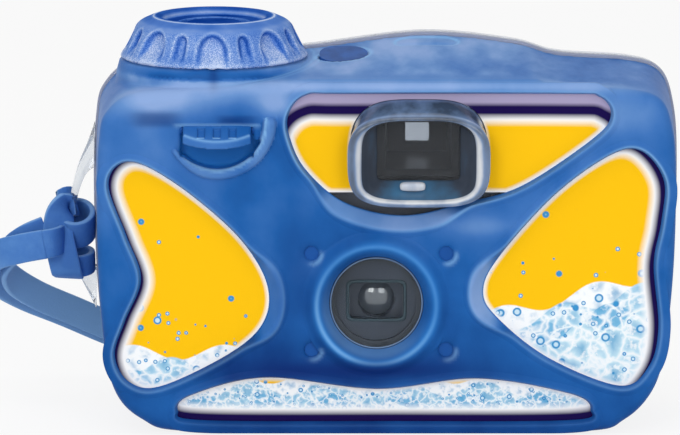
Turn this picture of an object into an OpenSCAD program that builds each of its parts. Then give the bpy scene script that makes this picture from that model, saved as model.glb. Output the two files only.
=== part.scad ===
/* [Body] */
// Width of the blue front shell at the seam
body_w = 121.6; // [118:0.2:130]
// Height of the blue front shell from the base to its crest
body_h = 78.9; // [77:0.1:86]
// Depth of the case from front face to back face
body_d = 43; // [42:0.5:50]
// Depth of the front half from its face to the seam
front_d = 29.5; // [28:0.5:31]
// Height of the front face at its top edge
face_top = 74; // [72:0.1:75]
// Draft of each side from the seam to the front edge
side_draft = 1.2; // [0.5:0.1:2]
// Wall of the blue front shell
shell_wall = 1.4; // [1:0.1:1.6]
// Rounding of the front edge
edge_r = 2.5; // [2:0.1:3]
// Rounding of the back edge
back_r = 6; // [4:0.5:8]
// Wall of the clear liner and the clear rear shell
clear_wall = 1.2; // [0.8:0.1:1.6]
// Overhang of the rear rim past the blue shell
rim_lip = 0.5; // [0.2:0.1:1]
// Depth of the rear rim
rim_d = 3; // [2:0.5:5]
// Thickness of a label
label_t = 0.3; // [0.2:0.05:0.5]
// Lap of a label behind the edge of its opening
label_lap = 0.3; // [0.1:0.1:0.5]
// Radius of the raised lip round each label opening
lip_r = 1.1; // [0.8:0.1:1.4]
// Depth of the sealing gasket at the seam
gasket_d = 1; // [0.6:0.1:1.5]

/* [Lens] */
// Lens axis, to the right of the centre
lens_x = -2; // [-5:0.5:5]
// Lens axis, above the base
lens_z = 27.3; // [26:0.1:30]
// Diameter of the lens window
window_dia = 19; // [17:0.2:20]
// Width of the funnel's lip round the window
funnel_lip = 3.4; // [2.5:0.1:4.5]
// Reach of the funnel in front of the face
funnel_reach = 1.8; // [1:0.1:3]
// Diameter of the taking lens
lens_dia = 7.5; // [6:0.1:8]
// Spacing of the four shell pins across
pin_pitch_x = 27.7; // [26:0.1:29]
// Spacing of the four shell pins up
pin_pitch_z = 20.2; // [19:0.1:22]
// Diameter of a shell pin
pin_dia = 3; // [2:0.1:3.4]

/* [Viewfinder] */
// Viewfinder axis, to the right of the centre
finder_x = 6.65; // [5:0.1:8]
// Viewfinder axis, above the base
finder_z = 59.1; // [58:0.1:60]
// Width of the hood
hood_w = 29.3; // [27:0.1:31]
// Height of the hood
hood_h = 21.8; // [20:0.1:23]
// Reach of the hood in front of the face
hood_reach = 4.1; // [3:0.1:6]
// Wall of the hood at its lip
hood_wall = 2.3; // [1.6:0.1:3]
// Width of the viewfinder opening
finder_w = 16.8; // [14:0.1:18]
// Height of the viewfinder opening
finder_h = 12.2; // [11:0.1:13]
// Wall of the viewfinder tunnel
finder_wall = 1.2; // [0.8:0.1:1.5]
// Width of the eyepiece window
eyepiece_w = 15; // [12:0.5:17]
// Height of the eyepiece window
eyepiece_h = 12; // [10:0.5:13]

/* [Winding knob] */
// Knob axis, to the right of the centre
knob_x = -35.7; // [-37:0.1:-34]
// Knob axis, behind the middle of the case
knob_y = 1; // [0:0.1:1.5]
// Diameter of the knob at its foot
knob_dia = 39.2; // [37:0.1:40]
// Diameter of the knob at its top
knob_top_dia = 31.4; // [29:0.1:33]
// Height of the knob
knob_h = 7.6; // [7:0.1:9]
// Diameter of the dish in the knob's top
dish_dia = 23; // [20:0.5:26]
// Number of wide flutes, with a narrow one between each pair
flutes = 8; // [6:1:9]
// Height of the turret's top above the flat of the front face
turret_rise = 2.4; // [2:0.1:4]
// Diameter of the winding shaft
shaft_dia = 8; // [7:0.1:9]

/* [Shutter lever] */
// Middle of the lever, to the right of the centre
lever_x = -34.7; // [-36:0.1:-33.5]
// Hinge of the lever, above the base
lever_z = 63.7; // [63:0.1:64.5]
// Width of the lever
lever_w = 13.9; // [12:0.1:15]
// Reach of the lever in front of its hinge
lever_reach = 6.2; // [5:0.1:7.5]
// Diameter of the hinge pin
hinge_dia = 2; // [1.6:0.1:2.2]
// Radius of the finger scoop
scoop_r = 10; // [9.5:0.1:10.5]
// Depth of the finger scoop
scoop_d = 3.3; // [3:0.1:3.6]

/* [Film] */
// Diameter of the film cassette
cassette_dia = 25; // [24:0.1:26]
// Height of the film cassette
cassette_h = 43.2; // [42:0.1:44]
// Width of the film
film_w = 35; // [34:0.5:36]
// Width of the picture
frame_w = 36; // [30:0.5:36]
// Height of the picture
frame_h = 24; // [20:0.5:24]
// Axis of the supply spool, to the right of the centre
supply_x = 33; // [31:0.5:34]
// Diameter of the full film roll
roll_dia = 20.8; // [18:0.1:21]
// Number of sprocket teeth
sprocket_teeth = 8; // [6:1:10]
// Diameter of the frame counter dial
counter_dia = 19; // [16:0.5:20]

/* [Strap] */
// Width of the strap
strap_w = 6.2; // [5:0.1:7]
// Thickness of the strap
strap_t = 1.4; // [1:0.1:1.8]
// Stand-off of the lug's bar from the side of the case
lug_off = 5.4; // [4:0.1:7]
// Diameter of the lug's bar
lug_dia = 3.4; // [2.6:0.1:4]

/* [Fits] */
// Gap between pieces that are fixed side by side
seat = 0.1; // [0.05:0.05:0.15]
// Gap between pieces that pass each other
clear = 0.3; // [0.2:0.05:0.4]
// Gap between a turning shaft and its bore
run = 0.05; // [0.03:0.01:0.08]

/* [Hidden] */
$fn = 48;

// Depth stations, from the front face back
y_face = -body_d / 2;
y_back = body_d / 2;
y_seam = y_face + front_d;
y_edge = y_face + edge_r;
y_label = y_face + shell_wall;
y_liner = y_label + label_t;
y_inside = y_liner + clear_wall;
y_cover = y_inside + 1.4;
cover_t = 1.2;
y_tunnel = -7;
y_film = 14.1;
film_t = 0.2;
trigger_t = 1.2;
y_trigger = y_tunnel - 0.4 - trigger_t;

// Heights
floor_z = shell_wall + seat + clear_wall + 2 * seat;
turret_top = face_top + turret_rise;
knob_foot = turret_top + 0.2;
deck_t = 1.5;
cassette_foot = floor_z + deck_t + 1.3;
// Reach of the supply spool's flanges past the film
spool_lip = 1.6;
// The deck lies over the taller of the cassette and the supply spool
deck_z = max(cassette_foot + cassette_h, lens_z + film_w / 2 + spool_lip) + 0.9;
deck_top = deck_z + deck_t;
chamber_r = cassette_dia / 2 + 0.8;
barrel_wall = 1.5;

// Lever and its scoop
y_hinge = y_face + 1.5;
y_scoop = y_face + scoop_d;
pocket_t = 1.2;
y_pocket = y_scoop + pocket_t;
barrel_r = hinge_dia / 2 + 0.4;
scoop_z = lever_z + barrel_r + 2 * clear;
arm_gap = 0.4;
arm_end = y_trigger - arm_gap - y_hinge;
arm_lap = 1.6;
arm_w = 4;
arm_t = 2.2;
arm_x = lever_x + lever_w / 2 - 2 - arm_w / 2;

// Turret
turret_r = knob_dia / 2 + 0.8;
bush_r = shaft_dia / 2 + 2;

// Shutter
blade_x = lens_x - 5;
blade_z = lens_z + 5.7;
blade_t = 0.4;
y_blade = y_tunnel - 1.5;
pin_r = 0.8;
tail_h = 4;
tail_w = 1.4;

// Sprocket, supply roll and counter
cassette_lip = cassette_dia / 2 + 0.6;
sprocket_r = sprocket_teeth * 4.75 / PI / 2;
sprocket_tip = sprocket_r + 0.55;
sprocket_x = knob_x + cassette_lip + 2 * clear + sprocket_tip;
sprocket_y = y_film - clear - sprocket_tip;
supply_y = y_film - 0.2 - roll_dia / 2;
counter_x = knob_x + turret_r + counter_dia / 2 + 0.6;
counter_eye_y = -0.8;
eye_w = 10.1;
eye_d = 9;
dial_in_eye = 4.4;
counter_y = counter_eye_y + (counter_dia + eye_d) / 2 - dial_in_eye - clear;
eye_x = -8.75;
counter_z = 70;
counter_slope = -13;

// Outline of the seam seen from the front, and the outlines of the four label openings
seam_shape = [
    [-41, 0], [0, 0], [41, 0], [50.5, 2.6], [56.6, 9.3], [59, 19], [60.5, 35], [60.8, 54], [59.9, 64.6],
    [57.4, 71.2], [51, 73.6], [36, 74.7], [26.5, 77.2], [7.4, 78.9], [-15.9, 76.1], [-40, 73.9],
    [-53, 72.6], [-58.6, 68.2], [-60.2, 62], [-60.8, 47], [-60, 24], [-57.6, 9.5], [-51.5, 2.6]
];
left_shape = [
    [-55, 56.2], [-57, 51.5], [-53.5, 41.6], [-50.5, 32.4], [-53.8, 23.6], [-56, 16.4], [-53.2, 10.8],
    [-46.5, 9.8], [-32, 16.9], [-25.2, 23.5], [-24.6, 31.5], [-30.2, 40.9], [-40.7, 50.4], [-50, 56.2]
];
right_shape = [
    [52.5, 59], [46.3, 58.4], [34.8, 50.1], [23.3, 37.1], [20, 30], [22.8, 24.4], [33.5, 15.8],
    [48.3, 9.9], [54.3, 14], [56.2, 22.3], [55.1, 35.4], [56.6, 44.5], [57, 53]
];
top_shape = [
    [-20, 66.8], [-19.8, 62], [-16.5, 55.2], [-8.5, 48.4], [3.5, 45.7], [16.4, 48.4], [28.1, 52],
    [42.5, 61.8], [46, 66.6], [43.6, 70.4], [36, 71], [-8, 71], [-16.5, 70.7]
];
bottom_shape = [
    [-43, 4.6], [-38, 2.6], [0, 2.4], [38, 2.6], [42.3, 4.8], [38.4, 8.1], [19, 11.4],
    [-1.8, 9.2], [-24.9, 11.6], [-40.2, 7.9]
];

openings = [left_shape, right_shape, top_shape, bottom_shape];

function mix(a, b, t) = a + (b - a) * t;

// A smooth curve through points
function curve_point(a, b, c, d, t) =
    (2 * b + (c - a) * t + (2 * a - 5 * b + 4 * c - d) * t * t + (3 * b - a - 3 * c + d) * t * t * t) / 2;
function closed_curve(p, steps) = let (n = len(p)) [
    for (i = [0 : n - 1], k = [0 : steps - 1])
        curve_point(p[(i + n - 1) % n], p[i], p[(i + 1) % n], p[(i + 2) % n], k / steps)
];
function open_curve(p, steps) = let (n = len(p)) [
    for (i = [0 : n - 2], k = [0 : steps - 1])
        curve_point(p[max(i - 1, 0)], p[i], p[i + 1], p[min(i + 2, n - 1)], k / steps),
    p[n - 1]
];

// A closed outline moved inwards along its own normals
function outward(p, i) = let (n = len(p), d = p[(i + 1) % n] - p[(i + n - 1) % n]) [d.y, -d.x] / norm(d);
function inset(p, d) = [for (i = [0 : len(p) - 1]) p[i] - d * outward(p, i)];

// A rounded rectangle by formula, counter-clockwise
function soft_rect(w, h, count, power = 5) = [
    for (i = [0 : count - 1])
        let (a = 360 * i / count, c = cos(a), s = sin(a), e = 2 / power)
            [sign(c) * pow(abs(c), e) * w / 2, sign(s) * pow(abs(s), e) * h / 2]
];

// The drawn shapes stretched to the body's own width and height
shape_w = 121.6;
shape_h = 78.9;
function fitted(p) = [for (q = p) [q.x * body_w / shape_w, q.y * body_h / shape_h]];
seam_line = [for (q = closed_curve(fitted(seam_shape), 2)) [q.x, max(q.y, 0)]];
face_scale = 1 - 2 * side_draft / body_w;
knee_z = 60;
knee_top = 76;
function face_height(z) =
    z < knee_z ? z : knee_z + (min(z, knee_top) - knee_z) * (face_top - knee_z) / (knee_top - knee_z);
face_line = [for (q = seam_line) [q.x * face_scale, face_height(q.y)]];
function body_line(y) = mix(seam_line, face_line, min((y_seam - y) / (y_seam - y_edge), 1));

// A flat outline in the front plane placed at depth y
function ring(p, y) = [for (q = p) [q.x, y, q.y]];

// Rings of the front half's skin, d inside the outside, from the seam to the face
function front_rings(d, y_end, y_start) = let (r = max(edge_r - d, 0.3), y_round = y_end + r) concat(
    [for (y = [y_start, (y_start + y_round) / 2]) ring(inset(body_line(y), d), y)],
    [
        for (a = [0 : 30 : 90])
            let (y = y_round - r * sin(a))
                ring(inset(body_line(y), d + r * (1 - cos(a))), y)
    ]
);

// Rings of the rear half's skin, d inside the outside, from the seam to the back
rear_draft = 0.6;
function on_floor(p, low) = [for (q = p) [q.x, max(q.y, low)]];
function rear_rings(d, rim) = let (r = back_r - d, y_end = y_back - d, y_round = y_end - r) concat(
    [for (y = [y_seam, y_seam + rim_d]) ring(on_floor(inset(seam_line, rim), d), y)],
    [
        for (a = [0 : 30 : 90])
            ring(on_floor(inset(seam_line, d + rear_draft + r * (1 - cos(a))), d), y_round + r * sin(a))
    ]
);

// A solid through rings of equal count, each end closed by a fan
function middle(r) = [for (k = [0 : 2]) (max([for (q = r) q[k]]) + min([for (q = r) q[k]])) / 2];
module loft(rings) {
    n = len(rings[0]);
    m = len(rings);
    walls = [
        for (j = [0 : m - 2], i = [0 : n - 1])
            each [
                [j * n + i, j * n + (i + 1) % n, (j + 1) * n + (i + 1) % n],
                [j * n + i, (j + 1) * n + (i + 1) % n, (j + 1) * n + i]
            ]
    ];
    ends = [
        for (i = [0 : n - 1])
            each [[m * n, (i + 1) % n, i], [m * n + 1, (m - 1) * n + i, (m - 1) * n + (i + 1) % n]]
    ];
    points = concat([for (r = rings) each r], [middle(rings[0]), middle(rings[m - 1])]);
    polyhedron(points, concat(walls, ends));
}

// A solid through rings that come back to the first, with no ends
module loft_loop(rings) {
    n = len(rings[0]);
    m = len(rings);
    polyhedron([for (r = rings) each r], [
        for (j = [0 : m - 1], i = [0 : n - 1])
            let (a = j * n, b = ((j + 1) % m) * n, k = (i + 1) % n)
                each [[a + i, a + k, b + k], [a + i, b + k, b + i]]
    ]);
}

function backwards(p) = [for (i = [len(p) - 1 : -1 : 0]) p[i]];

// Sweep of a flat section along a route, kept upright
function heading(p, i) = let (d = p[min(i + 1, len(p) - 1)] - p[max(i - 1, 0)]) d / norm(d);
function sideways(h) = let (s = cross(h, [0, 0, 1])) s / norm(s);
module sweep(route, section) {
    loft([
        for (i = [0 : len(route) - 1])
            let (h = heading(route, i), s = sideways(h), u = cross(s, h))
                [for (q = section) route[i] + s * q.x + u * q.y]
    ]);
}

// A coil of round wire about the x axis, its own least gap being the pitch less the wire
coil_steps = 8;
function coil_point(r, pitch, a) = [pitch * a / 360, r * cos(a), r * sin(a)];
module coil(r, wire, pitch, turns) {
    echo("coil gap", pitch - wire);
    loft([
        for (i = [0 : turns * coil_steps])
            let (a = 360 * i / coil_steps, c = coil_point(r, pitch, a), out = [0, cos(a), sin(a)])
                [for (k = [0 : 5]) c + wire / 2 * (cos(60 * k) * out + sin(60 * k) * [1, 0, 0])]
    ]);
}

// Prism of a front-plane outline between two depths
module slab(p, y0, y1) {
    translate([0, y1, 0])
        rotate([90, 0, 0])
            linear_extrude(y1 - y0)
                polygon(p);
}

// Cylinder along the depth, about a point of the front plane
module rod(x, z, r, y0, y1) {
    translate([x, y1, z])
        rotate([90, 0, 0])
            cylinder(r = r, h = y1 - y0);
}

// Box between two corners
module block(a, b) {
    translate(a)
        cube(b - a);
}

function moved(p, x, z) = [for (q = p) [q.x + x, q.y + z]];
hood_count = 32;
hood_round = 3.8;
hood_well_round = 5;
function hood_line(grow, power = hood_round) =
    moved(soft_rect(hood_w + 2 * grow, hood_h + 2 * grow, hood_count, power), finder_x, finder_z);
function opening(p) = closed_curve(fitted(p), 2);
label_cut_z = finder_z - 8.6;
pin_x = lens_x + 0.5;
pin_z = lens_z + 0.4;
pin_places = [for (i = [-1, 1], k = [-1, 1]) [pin_x + i * pin_pitch_x / 2, pin_z + k * pin_pitch_z / 2]];

// Half-round space of the finger scoop, grown by d, between two depths
module scoop(d, y0, y1) {
    intersection() {
        rod(lever_x, scoop_z, scoop_r + d, y0, y1);
        block(
            [lever_x - 2 * scoop_r, y0 - 1, scoop_z - 2 * scoop_r],
            [lever_x + 2 * scoop_r, y1 + 1, scoop_z + d]
        );
    }
}

// Oval sight of the frame counter, square to the sloping top
eye_z = body_h - 2.6;
module counter_eye(grow, z0, z1) {
    translate([eye_x, counter_eye_y, eye_z])
        rotate([-counter_slope, 0, 0])
            translate([0, 0, z0])
                linear_extrude(z1 - z0)
                    polygon(soft_rect(eye_w + 2 * grow, eye_d + 2 * grow, 24, 2.4));
}

// Lip that runs round an opening: a rolled edge from the opening outwards, standing proud of the face
lip_w = 2 * lip_r;
lip_bed = 0.7;
module lip(p) {
    line = closed_curve(fitted(p), 2);
    section = [
        [lip_w, y_label - 0.25], [lip_w, y_face + 0.3], [lip_w * 0.5, y_face - 0.45],
        [lip_w * 0.22, y_face - 0.25], [0, y_face + 0.4], [0, y_label - 0.25]
    ];
    loft_loop([
        for (i = [0 : len(line) - 1])
            let (o = outward(line, i))
                [for (q = section) [line[i].x + o.x * q.x, q.y, line[i].y + o.y * q.x]]
    ]);
}

// Raised guard under the lever, swept along the scoop's lower rim
guard_r = 1.3;
guard_line = scoop_r + guard_r * 0.6;
guard_steps = 10;
guard_from = 216;
guard_to = 355;
module guard() {
    function on_arc(i) = let (a = mix(guard_from, guard_to, i / guard_steps))
        [lever_x + guard_line * cos(a), y_face - 0.6, scoop_z + guard_line * sin(a)];
    function size(i) = guard_r * mix(0.35, 1, min(i / 3, 1));
    for (i = [0 : guard_steps - 1])
        hull() {
            translate(on_arc(i))
                sphere(size(i), $fn = 10);
            translate(on_arc(i + 1))
                sphere(size(i + 1), $fn = 10);
        }
}

turret_foot = face_top - 6.5;
turret_roof = 2;
module front_shell() {
    funnel_r = window_dia / 2 + funnel_lip;
    bowl_r = window_dia / 2 + 2 * seat;
    color("#2f66b5")
        difference() {
            union() {
                difference() {
                    loft(concat(
                        backwards(front_rings(0, y_face, y_seam)),
                        front_rings(shell_wall, y_label, y_seam)
                    ));
                    for (p = openings)
                        slab(inset(opening(p), -lip_bed), y_face - 5, y_liner);
                }
                for (p = openings)
                    lip(p);
                guard();
                scoop(pocket_t, y_face + 0.1, y_pocket);
                translate([knob_x, knob_y, 0])
                    rotate_extrude($fn = 44)
                        polygon([
                            [0, turret_foot], [turret_r, turret_foot], [turret_r, face_top - 1.5],
                            [turret_r - 0.8, face_top + 0.8], [turret_r - 1.8, turret_top], [0, turret_top]
                        ]);
                translate([lens_x, y_label - 0.1, lens_z])
                    rotate([90, 0, 0])
                        rotate_extrude($fn = 40)
                            polygon([
                                [0, 0], [funnel_r + 1.6, 0], [funnel_r + 1.2, shell_wall + 0.3],
                                [funnel_r - 0.2, shell_wall + funnel_reach * 0.8],
                                [funnel_r - 1.2, shell_wall + funnel_reach],
                                [0, shell_wall + funnel_reach]
                            ]);
            }
            slab(hood_line(clear), y_face - 5, y_liner);
            scoop(0, y_face - 10, y_scoop);
            block([arm_x - arm_w / 2 - clear, y_scoop - 1, lever_z - arm_t / 2 - 0.8],
                [arm_x + arm_w / 2 + clear, y_pocket + 1, lever_z + arm_t / 2 + 1.6]);
            translate([knob_x, knob_y, turret_foot - 1])
                cylinder(r = turret_r - 2.6, h = turret_top - turret_roof - turret_foot + 1);
            translate([knob_x, knob_y, deck_top])
                cylinder(r = bush_r + 2 * seat, h = body_h);
            translate([lens_x, y_label + 0.1, lens_z])
                rotate([90, 0, 0])
                    cylinder(r1 = bowl_r, r2 = funnel_r - 0.9, h = shell_wall + funnel_reach + 1.2);
            for (q = pin_places) {
                rod(q.x, q.y, pin_dia / 2 + 2 * seat, y_face - 5, y_liner);
                rod(q.x, q.y, pin_dia / 2 + 0.5, y_face - 5, y_face + 0.5);
            }
            counter_eye(2 * seat, -20, 5);
        }
}

// Round notch that the turret fills, grown by d
module turret_space(d) {
    translate([knob_x, knob_y, turret_foot - d])
        cylinder(r = turret_r + d, h = body_h);
}

// Inset of the liner and of the gasket behind it
gasket_in = shell_wall + seat;
module front_liner() {
    color("#dfe8ee", 0.4)
        difference() {
            loft(concat(
                backwards(front_rings(gasket_in, y_liner, y_seam - gasket_d - seat)),
                front_rings(gasket_in + clear_wall, y_inside, y_seam - gasket_d - seat)
            ));
            rod(lens_x, lens_z, window_dia / 2 + seat, y_liner - 1, y_inside + 1);
            for (q = pin_places)
                rod(q.x, q.y, pin_dia / 2 + seat, y_liner - 1, y_inside + 1);
            scoop(pocket_t + seat, y_liner - 5, y_pocket + seat);
            turret_space(seat);
            translate([knob_x, knob_y, deck_top])
                cylinder(r = bush_r + 2 * seat, h = body_h);
            counter_eye(2 * seat, -20, 5);
        }
}

module rear_shell() {
    color("#d4dde4", 0.5)
        difference() {
            loft(concat(
                backwards(rear_rings(clear_wall, gasket_in + clear_wall)),
                rear_rings(0, -rim_lip)
            ));
            turret_space(seat);
            slab(moved(soft_rect(eyepiece_w, eyepiece_h, 32), finder_x, finder_z), y_back - 4, y_back + 1);
        }
}

module case_gasket() {
    color("#3a3d42")
        difference() {
            slab(inset(seam_line, gasket_in + clear), y_seam - gasket_d, y_seam - seat / 2);
            slab(inset(seam_line, gasket_in + clear_wall), y_seam - gasket_d - 1, y_seam + 1);
            turret_space(seat);
        }
}

module shell_pins() {
    color("#2a5ba6")
        for (q = pin_places)
            rod(q.x, q.y, pin_dia / 2, y_face + 0.9, y_inside - 0.2);
}

module label(p) {
    slab(inset(opening(p), -label_lap), y_label + seat / 4, y_liner - seat / 4);
}

module label_top() {
    color("#ffc60c")
        difference() {
            label(top_shape);
            slab(hood_line(seat), y_face, y_inside);
            block([-body_w, y_face, 0], [body_w, y_inside, label_cut_z]);
        }
}

module label_left() {
    color("#ffc60c")
        label(left_shape);
}

module label_right() {
    color("#ffc60c")
        label(right_shape);
}

module label_bottom() {
    color("#ffffff")
        label(bottom_shape);
}

seal_d = 1;
window_t = shell_wall;
module lens_window() {
    color("#c8d8e6", 0.4)
        rod(lens_x, lens_z, window_dia / 2, y_inside - window_t, y_inside);
}

module window_seal() {
    color("#26282b")
        difference() {
            rod(lens_x, lens_z, window_dia / 2, y_inside + seat, y_inside + seal_d);
            rod(lens_x, lens_z, window_dia / 2 - 1.2, y_inside, y_inside + seal_d + 1);
        }
}

// The dark mask behind the window, with its picture-shaped well
mask_r = window_dia / 2 - 0.3;
mask_t = 3.3;
y_mask = y_inside + seal_d + seat;
module lens_mask() {
    well_w = 10.9;
    well_h = 8;
    color("#33373c")
        difference() {
            rod(lens_x, lens_z, mask_r, y_mask, y_mask + mask_t);
            block([lens_x - well_w / 2, y_mask - 1, lens_z - well_h / 2],
                [lens_x + well_w / 2, y_mask + mask_t - 1, lens_z + well_h / 2]);
            rod(lens_x, lens_z, lens_dia / 2 + seat, y_mask, y_mask + mask_t + 1);
        }
}

y_barrel = y_mask + mask_t + seat;
y_lens = y_barrel + 0.2;
lens_t = 2.6;
y_barrel_end = y_blade - 0.4;
module taking_lens() {
    dome_r = lens_dia * 0.8;
    color("#b8c6d2", 0.5)
        intersection() {
            rod(lens_x, lens_z, lens_dia / 2 - seat, y_lens - 5, y_lens + lens_t);
            translate([lens_x, y_lens - 0.9 + dome_r, lens_z])
                sphere(dome_r);
        }
}

module lens_barrel() {
    color("#1e2023")
        difference() {
            rod(lens_x, lens_z, lens_dia / 2 + 2.4, y_barrel, y_barrel_end);
            rod(lens_x, lens_z, lens_dia / 2, y_barrel - 1, y_lens + lens_t + seat);
            rod(lens_x, lens_z, lens_dia / 2 - 1, y_barrel, y_barrel_end + 1);
        }
}

module aperture_plate() {
    color("#1e2023")
        difference() {
            rod(lens_x, lens_z, lens_dia / 2 + 1.6, y_tunnel - 0.7, y_tunnel - seat);
            rod(lens_x, lens_z, 1.4, y_tunnel - 1, y_tunnel + 1);
        }
}

// Blade that swings clear of the stop, with the upright tail that the trigger pushes
module shutter_blade() {
    color("#4a4e54")
        difference() {
            union() {
                rod(lens_x, lens_z, 3, y_blade, y_blade + blade_t);
                rod(blade_x, blade_z, 1.8, y_blade, y_blade + blade_t);
                translate([blade_x, y_blade + blade_t, blade_z])
                    rotate([90, -atan2(lens_z - blade_z, lens_x - blade_x), 0])
                        translate([0, -1, 0])
                            cube([norm([lens_x - blade_x, lens_z - blade_z]), 2, blade_t]);
                block([blade_x - tail_w / 2, y_blade, blade_z],
                    [blade_x + tail_w / 2, y_blade + blade_t, blade_z + tail_h]);
            }
            rod(blade_x, blade_z, pin_r + run, y_blade - 1, y_tunnel);
        }
}

// Return spring wound round the blade's pin
spring_wire = 0.25;
spring_pitch = 0.7;
spring_turns = 2;
y_blade_pin = y_blade - spring_turns * spring_pitch - 2 * spring_wire;
module shutter_spring() {
    color("#b9bcc0")
        translate([blade_x, y_blade - spring_wire, blade_z])
            rotate([0, 0, -90])
                coil(pin_r + 0.3, spring_wire, spring_pitch, spring_turns);
}

// Rocker that the lever lifts at one end, its leg reaching down to the blade's tail
pad_z = lever_z + arm_t / 2 + clear;
pad_t = 1.2;
trigger_w = 1.6;
trigger_x = blade_x + 1;
trigger_z = deck_top + 4.7;
trigger_hub_r = 2;
module trigger_bar(a, b) {
    block([a.x, y_trigger, a.y], [b.x, y_trigger + trigger_t, b.y]);
}
module shutter_trigger() {
    end_x = arm_x - arm_w / 2;
    nub_x = blade_x + tail_w / 2 + clear;
    nub_z = blade_z + tail_h - 1.2;
    color("#5b6067")
        difference() {
            union() {
                block([end_x, y_hinge + arm_end - arm_lap, pad_z],
                    [end_x + arm_w, y_trigger + trigger_t, pad_z + pad_t]);
                trigger_bar([end_x, trigger_z - 1.2], [end_x + trigger_w, pad_z + pad_t]);
                trigger_bar([end_x, trigger_z - 1.2], [trigger_x, trigger_z + 1.2]);
                trigger_bar([nub_x, nub_z], [nub_x + trigger_w, trigger_z]);
                rod(trigger_x, trigger_z, trigger_hub_r, y_trigger, y_trigger + trigger_t);
            }
            rod(trigger_x, trigger_z, pin_r + run, y_trigger - 1, y_tunnel);
        }
}

// Rocking lever: a sloping thumb ledge in front of the hinge and an arm behind it
module shutter_lever() {
    drop = lever_reach * 0.5;
    bow_r = lever_w * 0.9;
    color("#2f66b5")
        translate([lever_x, y_hinge, lever_z])
            difference() {
                union() {
                    rotate([0, 90, 0])
                        cylinder(r = barrel_r, h = lever_w, center = true);
                    intersection() {
                        rotate([90, 0, 90])
                            linear_extrude(lever_w, center = true)
                                polygon([
                                    [0, barrel_r], [-lever_reach, barrel_r - drop],
                                    [-lever_reach, barrel_r - drop - 1.6], [-1, -barrel_r]
                                ]);
                        translate([0, bow_r - lever_reach, -10])
                            cylinder(r = bow_r, h = 20);
                    }
                    translate([arm_x - lever_x, 0, 0])
                        block([-arm_w / 2, 0, -arm_t / 2], [arm_w / 2, arm_end, arm_t / 2]);
                }
                rotate([0, 90, 0])
                    cylinder(r = hinge_dia / 2 + run, h = 2 * lever_w, center = true);
                for (i = [-1, 0, 1])
                    translate([i * 3.2, -1.2, barrel_r])
                        rotate([atan2(drop, lever_reach), 0, 0])
                            translate([-0.75, -3.6, -0.6])
                                cube([1.5, 3.2, 2]);
            }
}

ear_t = 1.2;
ear_r = barrel_r - 0.1;
module lever_bracket() {
    color("#2a5ba6")
        for (s = [-1, 1])
            translate([lever_x + s * (lever_w / 2 + clear + ear_t / 2), 0, lever_z])
                difference() {
                    union() {
                        translate([0, y_hinge, 0])
                            rotate([0, 90, 0])
                                cylinder(r = ear_r, h = ear_t, center = true);
                        block([-ear_t / 2, y_hinge, -ear_r], [ear_t / 2, y_scoop - seat, ear_r]);
                    }
                    translate([0, y_hinge, 0])
                        rotate([0, 90, 0])
                            cylinder(r = hinge_dia / 2 + run / 2, h = 2 * ear_t, center = true);
                }
}

module lever_pin() {
    color("#b9bcc0")
        translate([lever_x, y_hinge, lever_z])
            rotate([0, 90, 0])
                cylinder(r = hinge_dia / 2, h = lever_w + 2 * clear + 2 * ear_t, center = true);
}

// Return spring that draws the lever's arm down towards the deck
module lever_spring() {
    spring_r = 1.4;
    wire = 0.5;
    foot = deck_top + 0.2;
    turns = 6;
    color("#b9bcc0")
        translate([arm_x, y_hinge + arm_end - arm_lap, foot + wire / 2])
            rotate([0, -90, 0])
                coil(spring_r, wire, (lever_z - arm_t / 2 - clear - foot - wire) / turns, turns);
}

module lever_seal() {
    color("#26282b")
        difference() {
            block([arm_x - arm_w / 2 - 2, y_pocket + seat, lever_z - arm_t / 2 - 2.6],
                [arm_x + arm_w / 2 + 2, y_pocket + 0.9, lever_z + arm_t / 2 + 2.4]);
            block([arm_x - arm_w / 2 - clear, y_pocket - 1, lever_z - arm_t / 2 - 0.8],
                [arm_x + arm_w / 2 + clear, y_pocket + 2, lever_z + arm_t / 2 + 1.6]);
        }
}

// Clear hood of the viewfinder: a soft rectangular tube with a rolled lip
module viewfinder_hood() {
    y_lip = y_face - hood_reach;
    function at(grow, y) = ring(hood_line(grow), y);
    function well(grow, y) = ring(hood_line(grow, hood_well_round), y);
    color("#dbe6ee", 0.5)
        loft_loop([
            well(-hood_wall - 1, y_liner - seat), well(-hood_wall - 0.8, y_face + 0.5),
            well(-hood_wall, y_lip + 0.5), at(-0.9, y_lip), at(-0.3, y_lip + 0.15), at(0, y_lip + 0.6),
            at(-0.1, y_lip + 1.2), at(-0.5, y_face - 0.5), at(-0.6, y_liner - seat)
        ]);
}

// Dark tunnel between the two finder lenses, with a step for each
tunnel_w = finder_w + 2 * finder_wall;
tunnel_h = finder_h + 2 * finder_wall;
y_tunnel_end = y_film + 0.9;
finder_lens_t = 2.2;
finder_step = 4;
rear_lens_w = 9;
rear_lens_h = 7.5;
module finder_box(w, h, y0, y1) {
    block([finder_x - w / 2, y0, finder_z - h / 2], [finder_x + w / 2, y1, finder_z + h / 2]);
}
module viewfinder_tunnel() {
    color("#2b2e32")
        difference() {
            finder_box(tunnel_w, tunnel_h, y_cover, y_tunnel_end);
            finder_box(finder_w, finder_h, y_cover - 1, y_cover + finder_step);
            finder_box(finder_w - 3, finder_h - 2.4, y_cover, y_tunnel_end - 4);
            finder_box(rear_lens_w, rear_lens_h, y_tunnel_end - 5, y_tunnel_end + 1);
        }
}

module finder_front_lens() {
    y_step = y_cover + finder_step - seat;
    bowl_r = 30;
    color("#c8d8e6", 0.4)
        difference() {
            finder_box(finder_w - 2 * seat, finder_h - 2 * seat, y_step - finder_lens_t, y_step);
            translate([finder_x, y_step + 1.3 - finder_lens_t - bowl_r, finder_z])
                sphere(bowl_r, $fn = 160);
        }
}

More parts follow.
